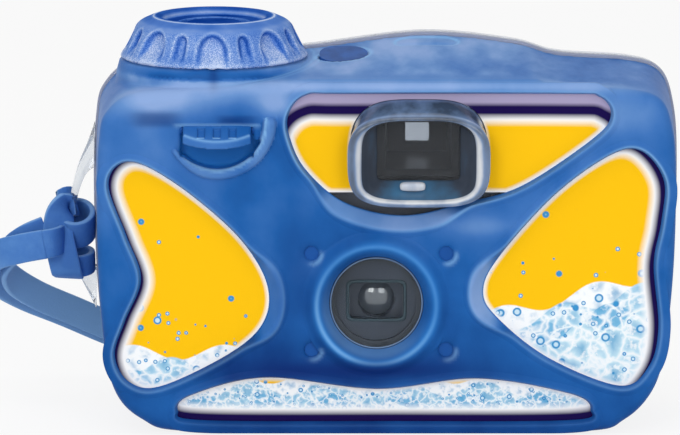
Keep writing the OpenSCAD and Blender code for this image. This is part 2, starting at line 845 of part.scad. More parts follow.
module finder_rear_lens() {
    dome_r = 14;
    color("#c8d8e6", 0.4)
        intersection() {
            finder_box(rear_lens_w - 2 * seat, rear_lens_h - 2 * seat, y_tunnel_end - 3, y_tunnel_end);
            translate([finder_x, y_tunnel_end - dome_r, finder_z])
                sphere(dome_r);
        }
}

module eyepiece_window() {
    color("#c8d8e6", 0.4)
        slab(moved(soft_rect(eyepiece_w - 2 * seat, eyepiece_h - 2 * seat, 32), finder_x, finder_z),
            y_back - clear_wall, y_back);
}

// Fluted knob: a dished cap over a hollow skirt, scalloped by leaning cutters
knob_lean = atan2((knob_dia - knob_top_dia) / 2, knob_h);
knob_top = knob_foot + knob_h;
wide_flute_r = 7;
wide_flute_d = 2.1;
slim_flute_r = 2.2;
slim_flute_d = 1.7;
// How much steeper than the knob's side the flutes run, so that each ends in an arch
flute_rise = 9;
module flute(r, deep, lean) {
    translate([knob_dia / 2 + r - deep, 0, knob_foot])
        rotate([0, -lean, 0])
            translate([0, 0, -5])
                cylinder(r = r, h = knob_h + 15);
}
module wind_knob() {
    skirt_r = knob_dia / 2 - 3.4;
    roof = knob_top - 3.6;
    hub_r = shaft_dia / 2 + 2.5;
    color("#3a70bd")
        translate([knob_x, knob_y, 0])
            difference() {
                rotate_extrude()
                    polygon([
                        [0, knob_foot + 0.3], [skirt_r - 1, knob_foot + 0.3],
                        [skirt_r, knob_foot], [knob_dia / 2 - 0.4, knob_foot],
                        [knob_dia / 2, knob_foot + 0.6], [knob_top_dia / 2 + 0.6, knob_top - 0.8],
                        [knob_top_dia / 2 - 0.8, knob_top], [dish_dia / 2, knob_top],
                        [dish_dia / 2 - 0.8, knob_top - 1.5], [0, knob_top - 1.5]
                    ]);
                translate([0, 0, knob_foot])
                    rotate_extrude()
                        polygon([
                            [hub_r, -1], [skirt_r - 1, -1], [skirt_r - 2.4, roof - knob_foot],
                            [hub_r, roof - knob_foot]
                        ]);
                translate([0, 0, knob_foot - 1])
                    cylinder(r = shaft_dia / 2 + run, h = roof - knob_foot);
                for (i = [0 : flutes - 1])
                    rotate(-90 + 360 * i / flutes) {
                        flute(wide_flute_r, wide_flute_d, knob_lean - flute_rise);
                        rotate(180 / flutes)
                            flute(slim_flute_r, slim_flute_d, knob_lean - flute_rise);
                    }
            }
}

groove_z = turret_top - 5;
groove_h = 1.2;
shaft_foot = deck_top + 4.2;
module wind_shaft() {
    color("#d9dde0")
        translate([knob_x, knob_y, 0])
            difference() {
                translate([0, 0, shaft_foot])
                    cylinder(r = shaft_dia / 2, h = knob_top - 4.8 - shaft_foot);
                translate([0, 0, groove_z])
                    difference() {
                        cylinder(r = shaft_dia, h = groove_h);
                        translate([0, 0, -1])
                            cylinder(r = shaft_dia / 2 - 1, h = groove_h + 2);
                    }
            }
}

bush_h = 9;
flange_t = 1.2;
module shaft_bush() {
    color("#2a5ba6")
        translate([knob_x, knob_y, turret_top - bush_h])
            difference() {
                union() {
                    cylinder(r = bush_r, h = bush_h);
                    translate([0, 0, bush_h - turret_roof - flange_t - seat])
                        cylinder(r = bush_r + 2.5, h = flange_t);
                }
                translate([0, 0, -1])
                    cylinder(r = shaft_dia / 2 + run, h = bush_h + 2);
            }
}

module shaft_seal() {
    color("#26282b")
        translate([knob_x, knob_y, groove_z + groove_h / 2])
            rotate_extrude()
                translate([shaft_dia / 2 - 0.49, 0])
                    circle(0.48);
}

// Fork under the shaft whose blade sits in the spool's slot
spool_top = cassette_foot + cassette_h + 3.2;
spool_r = 5.5;
slot_w = 1.8;
slot_d = 2.2;
module drive_fork() {
    color("#5b6067")
        translate([knob_x, knob_y, 0])
            union() {
                translate([0, 0, spool_top + clear])
                    cylinder(r = shaft_dia / 2 - 0.5, h = shaft_foot - seat - spool_top - clear);
                translate([-2.2, -slot_w / 2 + 0.2, spool_top - slot_d + 0.2])
                    cube([4.4, slot_w - 0.4, slot_d + clear]);
            }
}

module film_cassette() {
    cap_h = 1.6;
    color("#c9a227")
        translate([knob_x, knob_y, cassette_foot])
            difference() {
                union() {
                    cylinder(r = cassette_dia / 2, h = cassette_h);
                    for (z = [0, cassette_h - cap_h])
                        translate([0, 0, z])
                            cylinder(r = cassette_dia / 2 + 0.3, h = cap_h);
                    translate([0, cassette_dia / 2 - 2.5, (cassette_h - film_w) / 2])
                        cube([cassette_lip, 2.4, film_w]);
                }
                translate([0, 0, -1])
                    cylinder(r = 3 + run, h = cassette_h + 2);
            }
}

module cassette_spool() {
    color("#2b2e32")
        translate([knob_x, knob_y, 0])
            difference() {
                translate([0, 0, cassette_foot - 1])
                    cylinder(r = 3, h = spool_top - cassette_foot + 1);
                translate([-spool_r, -slot_w / 2, spool_top - slot_d])
                    cube([2 * spool_r, slot_w, slot_d + 1]);
            }
}

module film_strip() {
    color("#6b4a3a")
        block([knob_x + cassette_dia / 2 + 0.5, y_film, lens_z - film_w / 2],
            [supply_x, y_film + film_t, lens_z + film_w / 2]);
}

pivot_r = 2;
spool_flange = 1.2;
module supply_spool() {
    color("#2b2e32")
        translate([supply_x, supply_y, 0])
            union() {
                translate([0, 0, floor_z + 1])
                    cylinder(r = pivot_r, h = deck_top - floor_z - 1);
                translate([0, 0, lens_z - film_w / 2 - spool_lip])
                    cylinder(r = spool_r, h = film_w + 2 * spool_lip);
                for (s = [-1, 1])
                    translate([0, 0, lens_z + s * (film_w / 2 + spool_lip - spool_flange / 2)])
                        cylinder(r = roll_dia / 2 - 0.6, h = spool_flange, center = true);
            }
}

module film_roll() {
    color("#6b4a3a")
        translate([supply_x, supply_y, lens_z - film_w / 2])
            difference() {
                cylinder(r = roll_dia / 2, h = film_w);
                translate([0, 0, -1])
                    cylinder(r = spool_r + run, h = film_w + 2);
            }
}

sprocket_z = lens_z + film_w / 2 - 2.6;
sprocket_h = 2;
axle_r = 1.5;
axle_foot = 2.6;
module sprocket_wheel() {
    color("#d9dde0")
        translate([sprocket_x, sprocket_y, 0])
            union() {
                translate([0, 0, sprocket_z - axle_foot])
                    cylinder(r = axle_r, h = deck_top - sprocket_z + axle_foot);
                translate([0, 0, sprocket_z])
                    cylinder(r = sprocket_r - 0.6, h = sprocket_h);
                for (i = [0 : sprocket_teeth - 1])
                    rotate(360 * i / sprocket_teeth)
                        translate([0, -0.8, sprocket_z + 0.3])
                            cube([sprocket_tip - 0.05, 1.6, sprocket_h - 0.6]);
            }
}

spindle_r = 1.5;
counter_boss_h = 6;
module counter_dial() {
    color("#f2f2ee")
        translate([counter_x, counter_y, 0])
            union() {
                translate([0, 0, deck_top + 0.4])
                    cylinder(r = spindle_r, h = counter_z - deck_top);
                translate([0, 0, counter_z])
                    cylinder(r = counter_dia / 2, h = 1);
            }
}

module counter_window() {
    color("#c8d8e6", 0.4)
        counter_eye(0, -3, 0);
}

// Main frame of the film mechanism: two chambers, the light tunnel and the deck
tunnel_wall = 2;
light_in = 8;
function rect(w, h) = [[w, h], [-w, h], [-w, -h], [w, -h]] / 2;
post_r = 1.8;
y_post = y_cover + cover_t + seat;
post_x = frame_w / 2 - 0.5;
post_z = frame_h / 2 - 0.5;
// Space inside the liner, clear of its draft
cavity = [for (q = inset(seam_line, gasket_in + clear_wall + 1.5 * seat)) [q.x * face_scale, q.y]];
module inner_frame() {
    left = knob_x - chamber_r - barrel_wall;
    right = supply_x + roll_dia / 2 + 1 + barrel_wall;
    supply_r = roll_dia / 2 + 1;
    gate_x = [lens_x - frame_w / 2 - tunnel_wall, lens_x + frame_w / 2 + tunnel_wall];
    gate_z = [lens_z - frame_h / 2 - tunnel_wall, lens_z + frame_h / 2 + tunnel_wall];
    color("#3d4147")
        intersection() {
            slab(cavity, y_face, y_back);
            difference() {
                union() {
                    translate([knob_x, knob_y, floor_z])
                        cylinder(r = chamber_r + barrel_wall, h = deck_top - floor_z);
                    translate([supply_x, supply_y, floor_z])
                        cylinder(r = supply_r + barrel_wall, h = deck_top - floor_z);
                    block([gate_x[0], y_tunnel, gate_z[0]], [gate_x[1], y_film - seat, gate_z[1]]);
                    block([left, y_tunnel, deck_z], [right, y_film - seat, deck_top]);
                    block([left, y_tunnel, floor_z], [right, y_film - seat, floor_z + deck_t]);
                    block(
                        [sprocket_x - 5, sprocket_y - 5, gate_z[1] - 1],
                        [sprocket_x + 5, y_film - 4, sprocket_z - clear]
                    );
                    for (i = [-1, 1], k = [-1, 1])
                        rod(lens_x + i * post_x, lens_z + k * post_z, post_r, y_post, y_tunnel + 1);
                    translate([counter_x, counter_y, deck_z])
                        cylinder(r = spindle_r + 1.5, h = deck_t + counter_boss_h);
                    rod(blade_x, blade_z, pin_r, y_blade_pin, y_tunnel + 1);
                    rod(trigger_x, trigger_z, pin_r, y_trigger - clear, y_tunnel + 1);
                    block([trigger_x - trigger_hub_r, y_tunnel, deck_z],
                        [trigger_x + trigger_hub_r, y_tunnel + tunnel_wall, trigger_z + trigger_hub_r]);
                }
                translate([knob_x, knob_y, floor_z + deck_t])
                    cylinder(r = chamber_r, h = deck_z - floor_z - deck_t);
                block([knob_x - chamber_r, knob_y, floor_z + deck_t], [knob_x + chamber_r, y_back, deck_z]);
                translate([knob_x, knob_y, deck_z - 1])
                    cylinder(r = 4, h = 10);
                translate([supply_x, supply_y, floor_z + deck_t])
                    cylinder(r = supply_r, h = deck_z - floor_z - deck_t);
                block(
                    [supply_x - supply_r, supply_y, floor_z + deck_t],
                    [supply_x + supply_r, y_back, deck_z]
                );
                translate([supply_x, supply_y, floor_z + 0.8])
                    cylinder(r = pivot_r + run, h = body_h);
                loft([
                    ring(moved(rect(light_in, light_in), lens_x, lens_z), y_tunnel + tunnel_wall),
                    ring(moved(rect(frame_w, frame_h), lens_x, lens_z), y_film + 1)
                ]);
                rod(lens_x, lens_z, light_in / 2 - 1.5, y_tunnel - 1, y_tunnel + tunnel_wall + 1);
                translate([sprocket_x, sprocket_y, sprocket_z - axle_foot - clear])
                    cylinder(r = axle_r + run, h = body_h);
                translate([sprocket_x, sprocket_y, sprocket_z - clear])
                    cylinder(r = sprocket_tip + clear, h = sprocket_h + 2 * clear);
                block([left - 5, y_film + film_t, 0], [right + 5, y_back, body_h]);
                translate([counter_x, counter_y, deck_z + 0.3])
                    cylinder(r = spindle_r + run, h = body_h);
                block([finder_x - tunnel_w / 2 - clear, y_tunnel - 1, finder_z - tunnel_h / 2 - seat],
                    [finder_x + tunnel_w / 2 + clear, y_back, body_h]);
            }
        }
}

// Dark front cover of the film mechanism, low at the lever and high at the finder
module inner_front() {
    cover_top = finder_z + tunnel_h / 2 + 1.2;
    color("#3d4147")
        difference() {
            union() {
                block([knob_x - 12, y_cover, floor_z + 1.5], [supply_x + 12, y_cover + cover_t, deck_top]);
                block([lens_x - 16, y_cover, deck_top - 1], [supply_x, y_cover + cover_t, cover_top]);
            }
            rod(lens_x, lens_z, mask_r + seat, y_cover - 1, y_cover + cover_t + 1);
            finder_box(tunnel_w + 2 * seat, tunnel_h + 2 * seat, y_cover - 1, y_cover + cover_t + 1);
            scoop(pocket_t + 1, y_face, y_pocket + 3);
        }
}

module inner_back() {
    back_t = 1.4;
    y0 = y_film + film_t + seat;
    color("#33373c")
        block([knob_x - 15, y0, floor_z], [supply_x + 13, y0 + back_t, finder_z - tunnel_h / 2 - 2 * seat]);
}

// Clear bow on the left edge of the rear rim that carries the strap
lug_y = y_seam + rim_d / 2;
function lug_side(z) =
    lookup(z, [for (q = seam_line) if (q.x < 4 - body_w / 2) [q.y, q.x]]) - rim_lip - 0.25;
lug_bar_x = -body_w / 2 - lug_off;
lug_top = 57.5;
lug_foot = 22.5;
module strap_lug() {
    top_x = lug_side(lug_top);
    foot_x = lug_side(lug_foot);
    route = open_curve([
        [top_x, lug_y, lug_top], [top_x - 1.6, lug_y, lug_top - 0.8], [lug_bar_x + 0.8, lug_y, lug_top - 8],
        [lug_bar_x, lug_y, lug_top - 13],
        [lug_bar_x, lug_y, lug_foot + 6], [lug_bar_x + 1, lug_y, lug_foot + 3],
        [foot_x - 1.6, lug_y, lug_foot + 0.6], [foot_x, lug_y, lug_foot]
    ], 2);
    color("#d4dde4", 0.5)
        loft([
            for (i = [0 : len(route) - 1])
                let (h = heading(route, i), o = [-h.z, 0, h.x])
                    [for (k = [0 : 9]) route[i] + lug_dia / 2 * (cos(36 * k) * o + sin(36 * k) * [0, 1, 0])]
        ]);
}

// Hitch of the strap round the lug's bar
knot_z = [30, 45];
knot_left = lug_bar_x - 3.8;
knot_right = lug_bar_x + 4;
module strap_knot() {
    color("#4b7dbe")
        difference() {
            hull() {
                for (z = [knot_z[0] + 2, knot_z[1] - 2])
                    translate([knot_right - 2, lug_y, z])
                        sphere(2, $fn = 16);
                for (y = [-5, 5], z = [knot_z[0] + 3, knot_z[1] - 4])
                    translate([knot_left, lug_y - 4.5 + y, z])
                        rotate([0, 90, 0])
                            cylinder(r = 2.5, h = 2, $fn = 16);
            }
            translate([lug_bar_x, lug_y, 0])
                cylinder(r = lug_dia / 2 + 2 * seat, h = body_h);
        }
}

// Wrist loop: out of the hitch, round to the left, down behind the case and back beside itself
strap_route = [
    [-71.3, 4, 38], [-75, 3, 36.5], [-78.6, 5, 33.5], [-80.4, 10, 29.5], [-79, 16.5, 25], [-74, 22, 20.5],
    [-66, 26.5, 16], [-56, 29.5, 11], [-45, 31.5, 6.5], [-33, 32.6, 3.8], [-20, 33, 3.2], [-6, 33, 3.2],
    [8, 33.6, 3.2], [20, 37, 3.2], [28, 44.5, 3.2], [28.5, 54.5, 3.2], [21, 61.5, 3.2], [10.5, 61, 3.2],
    [-1, 55, 3.2], [-13, 47.5, 3.2], [-26, 41.5, 3.2], [-38, 38.2, 3.6], [-49, 36, 6], [-59, 33.5, 10.3],
    [-68.5, 30, 15.2], [-77.5, 25, 20], [-83, 17.5, 25], [-84, 9.5, 29.5], [-81.5, 2.5, 33],
    [-76.5, -0.8, 35], [-71.3, -1, 36]
];
module strap_loop() {
    color("#4b7dbe")
        sweep(open_curve(strap_route, 2), soft_rect(strap_t, strap_w, 8, 4));
}

front_shell();
front_liner();
rear_shell();
case_gasket();
shell_pins();
label_top();
label_left();
label_right();
label_bottom();
lens_window();
window_seal();
lens_mask();
taking_lens();
lens_barrel();
aperture_plate();
shutter_blade();
shutter_spring();
shutter_trigger();
shutter_lever();
lever_bracket();
lever_pin();
lever_spring();
lever_seal();
viewfinder_hood();
viewfinder_tunnel();
finder_front_lens();
finder_rear_lens();
eyepiece_window();
wind_knob();
wind_shaft();
shaft_bush();
shaft_seal();
drive_fork();
inner_frame();
inner_front();
inner_back();
film_cassette();
cassette_spool();
film_strip();
supply_spool();
film_roll();
sprocket_wheel();
counter_dial();
counter_window();
strap_lug();
strap_knot();
strap_loop();
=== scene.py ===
import math

import bmesh
import bpy
import numpy as np
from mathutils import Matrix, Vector
from mathutils.geometry import delaunay_2d_cdt
from numpy import arctan2, clip, exp, hypot, interp, maximum, minimum, where


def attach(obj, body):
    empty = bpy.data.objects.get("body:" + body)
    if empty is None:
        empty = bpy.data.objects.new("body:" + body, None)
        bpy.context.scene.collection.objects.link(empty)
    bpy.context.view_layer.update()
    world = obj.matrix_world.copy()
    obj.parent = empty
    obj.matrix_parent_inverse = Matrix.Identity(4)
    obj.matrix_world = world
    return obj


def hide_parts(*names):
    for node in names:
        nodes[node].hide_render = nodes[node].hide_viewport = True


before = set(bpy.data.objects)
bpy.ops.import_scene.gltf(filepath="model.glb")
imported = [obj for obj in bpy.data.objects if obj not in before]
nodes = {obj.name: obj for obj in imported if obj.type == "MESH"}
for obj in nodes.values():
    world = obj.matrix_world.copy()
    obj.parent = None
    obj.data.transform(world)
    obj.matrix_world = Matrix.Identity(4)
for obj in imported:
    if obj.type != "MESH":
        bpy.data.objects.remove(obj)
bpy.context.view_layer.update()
MM = 0.001

# Camera: the photograph's width in pixels and its scale, the point at its middle and the distance, in mm
IMAGE_W, PX_PER_MM = 680, 4.78
AIM = (-9.5, 0.0, 41.5)
ELEVATION = math.radians(10.5)
DISTANCE, SENSOR = 1200.0, 36.0

# Sizes of the case, in mm
Y_FACE, Y_EDGE, Y_LABEL, Y_SEAM, Y_BACK = -21.5, -19.0, -20.1, 8.0, 21.5
CASE_W, WALL, EDGE_R, BACK_R, CLEAR_WALL, RIM_LIP, RIM_D = 121.6, 1.4, 2.5, 6.0, 1.2, 0.5, 3.0
LENS = (-2.0, 27.3)
FINDER = (6.65, 59.1)
EYEPIECE = (15.0, 12.0)
HOOD_W, HOOD_H, HOOD_ROUND, HOOD_POINTS = 29.3, 21.8, 3.8, 160
KNOB = (-35.7, 1.0)
KNOB_FOOT, KNOB_TOP = 75.7, 84.2
TURRET_R, TURRET_TOP, TURRET_FOOT = 20.4, 76.4, 67.5
TURRET_WALL, TURRET_ROOF, TURRET_BASE, CAVITY_ROUND = 2.6, 2, 60, 1.1
LEVER = (-34.7, 63.7)
Y_HINGE, SCOOP_Z, SCOOP_R, Y_SCOOP = -20.0, 65.7, 10.0, -18.2
PIN_X, PIN_Z, PIN_R = (-15.35, 12.35), (17.6, 37.8), 1.5
LUG_Y, LUG_R = 9.5, 1.7
STRAP_W, STRAP_T, STRAP_EDGE, STRAP_POINTS = 6.2, 1.4, 6.0, 20
# Cell sizes of the pieces that are meshed from a field
REAR_CELL, FRONT_CELL, KNOB_CELL, LEVER_CELL = 0.6, 0.55, 0.35, 0.25

# Outlines in the front plane
SEAM = [
    (-41, 0), (0, 0), (41, 0), (50.5, 2.6), (56.6, 9.3), (59, 19), (60.5, 35), (60.8, 54), (59.9, 64.6),
    (57.4, 71.2), (51, 73.6), (36, 74.7), (26.5, 77.2), (7.4, 78.9), (-15.9, 76.1), (-40, 73.9),
    (-53, 72.6), (-58.6, 68.2), (-60.2, 62), (-60.8, 47), (-60, 24), (-57.6, 9.5), (-51.5, 2.6)]
OPENINGS = {
    "left": [
        (-55, 56.2), (-57, 51.5), (-53.5, 41.6), (-50.5, 32.4), (-53.8, 23.6), (-56, 16.4), (-53.2, 10.8),
        (-46.5, 9.8), (-32, 16.9), (-25.2, 23.5), (-24.6, 31.5), (-30.2, 40.9), (-40.7, 50.4), (-50, 56.2)],
    "right": [
        (52.5, 59), (46.3, 58.4), (34.8, 50.1), (23.3, 37.1), (20, 30), (22.8, 24.4), (33.5, 15.8),
        (48.3, 9.9), (54.3, 14), (56.2, 22.3), (55.1, 35.4), (56.6, 44.5), (57, 53)],
    "top": [
        (-20, 66.8), (-19.8, 62), (-16.5, 55.2), (-8.5, 48.4), (3.5, 45.7), (16.4, 48.4), (28.1, 52),
        (42.5, 61.8), (46, 66.6), (43.6, 70.4), (36, 71), (-8, 71), (-16.5, 70.7)],
    "bottom": [
        (-43, 4.6), (-38, 2.6), (0, 2.4), (38, 2.6), (42.3, 4.8), (38.4, 8.1), (19, 11.4),
        (-1.8, 9.2), (-24.9, 11.6), (-40.2, 7.9)]}
# Width of the bevel that runs down to each label: narrow, and wide within reach of the lens
BEVEL_SLIM, BEVEL_WIDE, BEVEL_REACH = 0.6, 3.1, (30, 20)

# The wrist loop's route, as in part.scad
STRAP_ROUTE = [
    (-71.3, 4, 38), (-75, 3, 36.5), (-78.6, 5, 33.5), (-80.4, 10, 29.5), (-79, 16.5, 25), (-74, 22, 20.5),
    (-66, 26.5, 16), (-56, 29.5, 11), (-45, 31.5, 6.5), (-33, 32.6, 3.8), (-20, 33, 3.2), (-6, 33, 3.2),
    (8, 33.6, 3.2), (20, 37, 3.2), (28, 44.5, 3.2), (28.5, 54.5, 3.2), (21, 61.5, 3.2), (10.5, 61, 3.2),
    (-1, 55, 3.2), (-13, 47.5, 3.2), (-26, 41.5, 3.2), (-38, 38.2, 3.6), (-49, 36, 6), (-59, 33.5, 10.3),
    (-68.5, 30, 15.2), (-77.5, 25, 20), (-83, 17.5, 25), (-84, 9.5, 29.5), (-81.5, 2.5, 33),
    (-76.5, -0.8, 35), (-71.3, -1, 36)]


# Curves
def spline(points, steps, closed):
    """A smooth curve through points, with each span cut into steps."""
    p = np.array(points, float)
    n, t = len(p), (np.arange(steps) / steps)[:, None]
    out = []
    for i in range(n if closed else n - 1):
        a, b, c, d = (p[k % n if closed else clip(k, 0, n - 1)] for k in range(i - 1, i + 3))
        out.append((2 * b + (c - a) * t + (2 * a - 5 * b + 4 * c - d) * t ** 2
                    + (3 * b - a - 3 * c + d) * t ** 3) / 2)
    if not closed:
        out.append(p[-1:])
    return np.concatenate(out)


def soft_rect(w, h, count, power):
    """Closed line round a rectangle, squarer at a higher power."""
    a = 2 * np.pi * np.arange(count) / count
    c, s = np.cos(a), np.sin(a)
    e = 2 / power
    return np.stack([np.sign(c) * np.abs(c) ** e * w / 2, np.sign(s) * np.abs(s) ** e * h / 2], 1)


def at_depth(line, y):
    """Points of a line in the front plane, at depth y."""
    return np.stack([line[:, 0], np.full(len(line), y), line[:, 1]], 1)


# Flat distance maps in the front plane
MAP_CELL = 0.4
MAP_LO = np.array([-66.0, -5.0])
MAP_N = (331, 221)


def signed_distance(points, line):
    """Distance of points to a closed line, negative inside."""
    best = np.full(len(points), 1e9)
    inside = np.zeros(len(points), bool)
    for a, b in zip(line, np.roll(line, -1, 0)):
        ab, ap = b - a, points - a
        t = clip(ap @ ab / max(ab @ ab, 1e-12), 0, 1)
        best = minimum(best, ((ap - t[:, None] * ab) ** 2).sum(1))
        cross = (a[1] > points[:, 1]) != (b[1] > points[:, 1])
        if cross.any():
            x = a[0] + (points[:, 1] - a[1]) * ab[0] / (ab[1] if ab[1] else 1e-12)
            inside ^= cross & (points[:, 0] < x)
    return where(inside, -1, 1) * np.sqrt(best)


def distance_map(line):
    """Distances to a closed line on the map's grid."""
    x = MAP_LO[0] + MAP_CELL * np.arange(MAP_N[0])
    z = MAP_LO[1] + MAP_CELL * np.arange(MAP_N[1])
    grid = np.stack(np.meshgrid(x, z, indexing="ij"), -1).reshape(-1, 2)
    return signed_distance(grid, line).reshape(MAP_N)


def sample(field, x, z):
    """A map's value between the points of its grid."""
    u = clip((x - MAP_LO[0]) / MAP_CELL, 0, MAP_N[0] - 1.001)
    v = clip((z - MAP_LO[1]) / MAP_CELL, 0, MAP_N[1] - 1.001)
    i, j = u.astype(int), v.astype(int)
    u, v = u - i, v - j
    return (field[i, j] * (1 - u) * (1 - v) + field[i + 1, j] * u * (1 - v)
            + field[i, j + 1] * (1 - u) * v + field[i + 1, j + 1] * u * v)


def smooth(a, b, x):
    """Eased step from nought at a to one at b."""
    t = clip((x - a) / (b - a), 0, 1)
    return t * t * (3 - 2 * t)


def peak(x, at, width):
    """Soft bell, one where x is at its place."""
    return exp(-((x - at) / width) ** 2)


def join(a, b, k):
    """Union of two distance fields with a fillet of about k."""
    h = clip(0.5 + 0.5 * (b - a) / k, 0, 1)
    return b + (a - b) * h - k * h * (1 - h)


def cut(a, b, k=0.01):
    """Field a less field b, with the edge rounded by about k."""
    return -join(-a, b, k)


def rounded(q1, q2, r):
    """Field of the corner where q1 and q2 meet, rounded by r."""
    return hypot(maximum(q1 + r, 0), maximum(q2 + r, 0)) + minimum(maximum(q1, q2) + r, 0) - r


# Meshes
def surface_net(fn, lo, hi, cell):
    """Closed quad mesh of the space where fn(x, y, z) is negative, its points drawn onto the surface."""
    lo, hi = np.array(lo, float), np.array(hi, float)
    count = np.ceil((hi - lo) / cell).astype(int) + 1
    axes = [lo[k] + cell * np.arange(count[k]) for k in range(3)]
    x, y, z = np.meshgrid(*axes, indexing="ij")
    f = fn(x.ravel(), y.ravel(), z.ravel()).reshape(x.shape)
    cells = tuple(count - 1)
    total = np.zeros(cells + (3,), np.float32)
    hits = np.zeros(cells, np.float32)
    edges = []
    for k in range(3):
        f0, f1 = (f.take(range(s, count[k] - 1 + s), k) for s in (0, 1))
        at = np.argwhere((f0 < 0) != (f1 < 0))
        g0, g1 = f0[tuple(at.T)], f1[tuple(at.T)]
        p = at.astype(float)
        p[:, k] += g0 / (g0 - g1)
        u, v = (k + 1) % 3, (k + 2) % 3
        keep = (at[:, u] > 0) & (at[:, v] > 0) & (at[:, u] < count[u] - 1) & (at[:, v] < count[v] - 1)
        at, p, g0 = at[keep], p[keep], g0[keep]
        around = []
        for du, dv in ((1, 1), (0, 1), (0, 0), (1, 0)):
            c = at.copy()
            c[:, u] -= du
            c[:, v] -= dv
            np.add.at(total, tuple(c.T), p.astype(np.float32))
            np.add.at(hits, tuple(c.T), 1)
            around.append(c)
        edges.append((around, g0 < 0))
    index = np.full(cells, -1)
    used = hits > 0
    index[used] = np.arange(used.sum())
    points = lo + cell * total[used] / hits[used][:, None]
    faces = []
    for around, out in edges:
        quad = np.stack([index[tuple(c.T)] for c in around], 1)
        quad[~out] = quad[~out][:, ::-1]
        faces.append(quad)
    step = cell * 0.25
    for _ in range(3):
        value, slope = gradient(fn, points, step)
        move = -value / maximum((slope ** 2).sum(1), 0.2)
        points = points + clip(move, -0.4 * cell, 0.4 * cell)[:, None] * slope
    return points, np.concatenate(faces)


def gradient(fn, p, step):
    """A field's value and slope at points."""
    value = fn(p[:, 0], p[:, 1], p[:, 2])
    slope = np.empty_like(p)
    for k in range(3):
        q = p.copy()
        q[:, k] += step
        slope[:, k] = (fn(q[:, 0], q[:, 1], q[:, 2]) - value) / step
    return value, slope


def add_object(name, data):
    obj = bpy.data.objects.new(name, data)
    bpy.context.scene.collection.objects.link(obj)
    return obj


def add_mesh(name, points, faces, material, slot, replaces=(), attributes=None, sharp=None, body="case"):
    """A smooth-shaded piece from points in mm, riding on a body."""
    mesh = bpy.data.meshes.new(name)
    mesh.from_pydata((np.asarray(points) * MM).tolist(), [], [list(map(int, q)) for q in faces])
    mesh.polygons.foreach_set("use_smooth", [True] * len(mesh.polygons))
    for key, values in (attributes or {}).items():
        mesh.attributes.new(key, "FLOAT", "POINT").data.foreach_set("value", np.asarray(values, np.float32))
    form = bmesh.new()
    form.from_mesh(mesh)
    bmesh.ops.recalc_face_normals(form, faces=form.faces)
    form.to_mesh(mesh)
    form.free()
    obj = add_object(name, mesh)
    mesh.materials.append(material)
    if sharp:
        mesh.set_sharp_from_angle(angle=math.radians(sharp))
    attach(obj, body)
    if replaces:
        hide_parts(*replaces)
    return obj


def rings_mesh(rings, loop=False):
    """Points and faces through closed rings of equal count, joined in a loop or capped at both ends."""
    m, n = len(rings), len(rings[0])
    faces = []
    for j in range(m if loop else m - 1):
        a, b = j * n, ((j + 1) % m) * n
        faces += [(a + i, a + (i + 1) % n, b + (i + 1) % n, b + i) for i in range(n)]
    if not loop:
        faces += [tuple(range(n - 1, -1, -1)), tuple(range((m - 1) * n, m * n))]
    return np.concatenate(rings), faces


def outward(line):
    """Unit normals of a closed line, pointing out of it."""
    along = np.roll(line, -1, 0) - np.roll(line, 1, 0)
    turn = np.sign((line[:, 0] * np.roll(line[:, 1], -1) - line[:, 1] * np.roll(line[:, 0], -1)).sum())
    return turn * np.stack([along[:, 1], -along[:, 0]], 1) / np.linalg.norm(along, axis=1)[:, None]


def rim(line, section, width=0.0):
    """Closed lip round a line in the front plane; a section point is (share of width, mm outside, depth)."""
    normal = outward(line)
    rings = []
    for share, out, y in section:
        reach = np.full(len(line), share * width + out)
        rings.append(at_depth(line + reach[:, None] * normal, y))
    return rings_mesh(rings, loop=True)


def merge(*pieces):
    """One set of points and faces from several."""
    points, faces = [], []
    for p, f in pieces:
        start = sum(len(q) for q in points)
        points.append(p)
        faces += [[int(i) + start for i in q] for q in f]
    return np.concatenate(points), faces


def band(points, sides, width, thick, steps=8):
    """Path and rings of a flat strap along a curve, its width along the blended side directions."""
    path = spline(points, steps, False)
    side = spline(sides, steps, False)
    along = np.gradient(path, axis=0)
    along /= np.linalg.norm(along, axis=1)[:, None]
    side = side - (side * along).sum(1)[:, None] * along
    side /= np.linalg.norm(side, axis=1)[:, None]
    face = np.cross(along, side)
    section = soft_rect(width, thick, STRAP_POINTS, STRAP_EDGE)
    rings = [p + section[:, :1] * s + section[:, 1:] * f for p, s, f in zip(path, side, face)]
    return path, rings


# Camera
camera_data = bpy.data.cameras.new("camera")
camera_data.sensor_width = SENSOR
camera_data.lens = SENSOR * DISTANCE / (IMAGE_W / PX_PER_MM)
camera = add_object("camera", camera_data)
back = Vector((0, -math.cos(ELEVATION), math.sin(ELEVATION)))
camera.location = (Vector(AIM) + DISTANCE * back) * MM
camera.rotation_euler = (math.pi / 2 - ELEVATION, 0, 0)
camera_data.clip_end = 20
bpy.context.scene.camera = camera
bpy.context.scene.view_settings.view_transform = "Standard"


# Materials
def rgb(r, g, b):
    """Scene-linear colour of an 8-bit screen colour."""
    return tuple(((c / 255 + 0.055) / 1.055) ** 2.4 if c > 10 else c / 3294.6 for c in (r, g, b)) + (1.0,)


SOCKETS = {"ior": "IOR", "gloss": "Specular IOR Level", "clear": "Transmission Weight", "metal": "Metallic",
           "coat": "Coat Weight", "coat_rough": "Coat Roughness"}


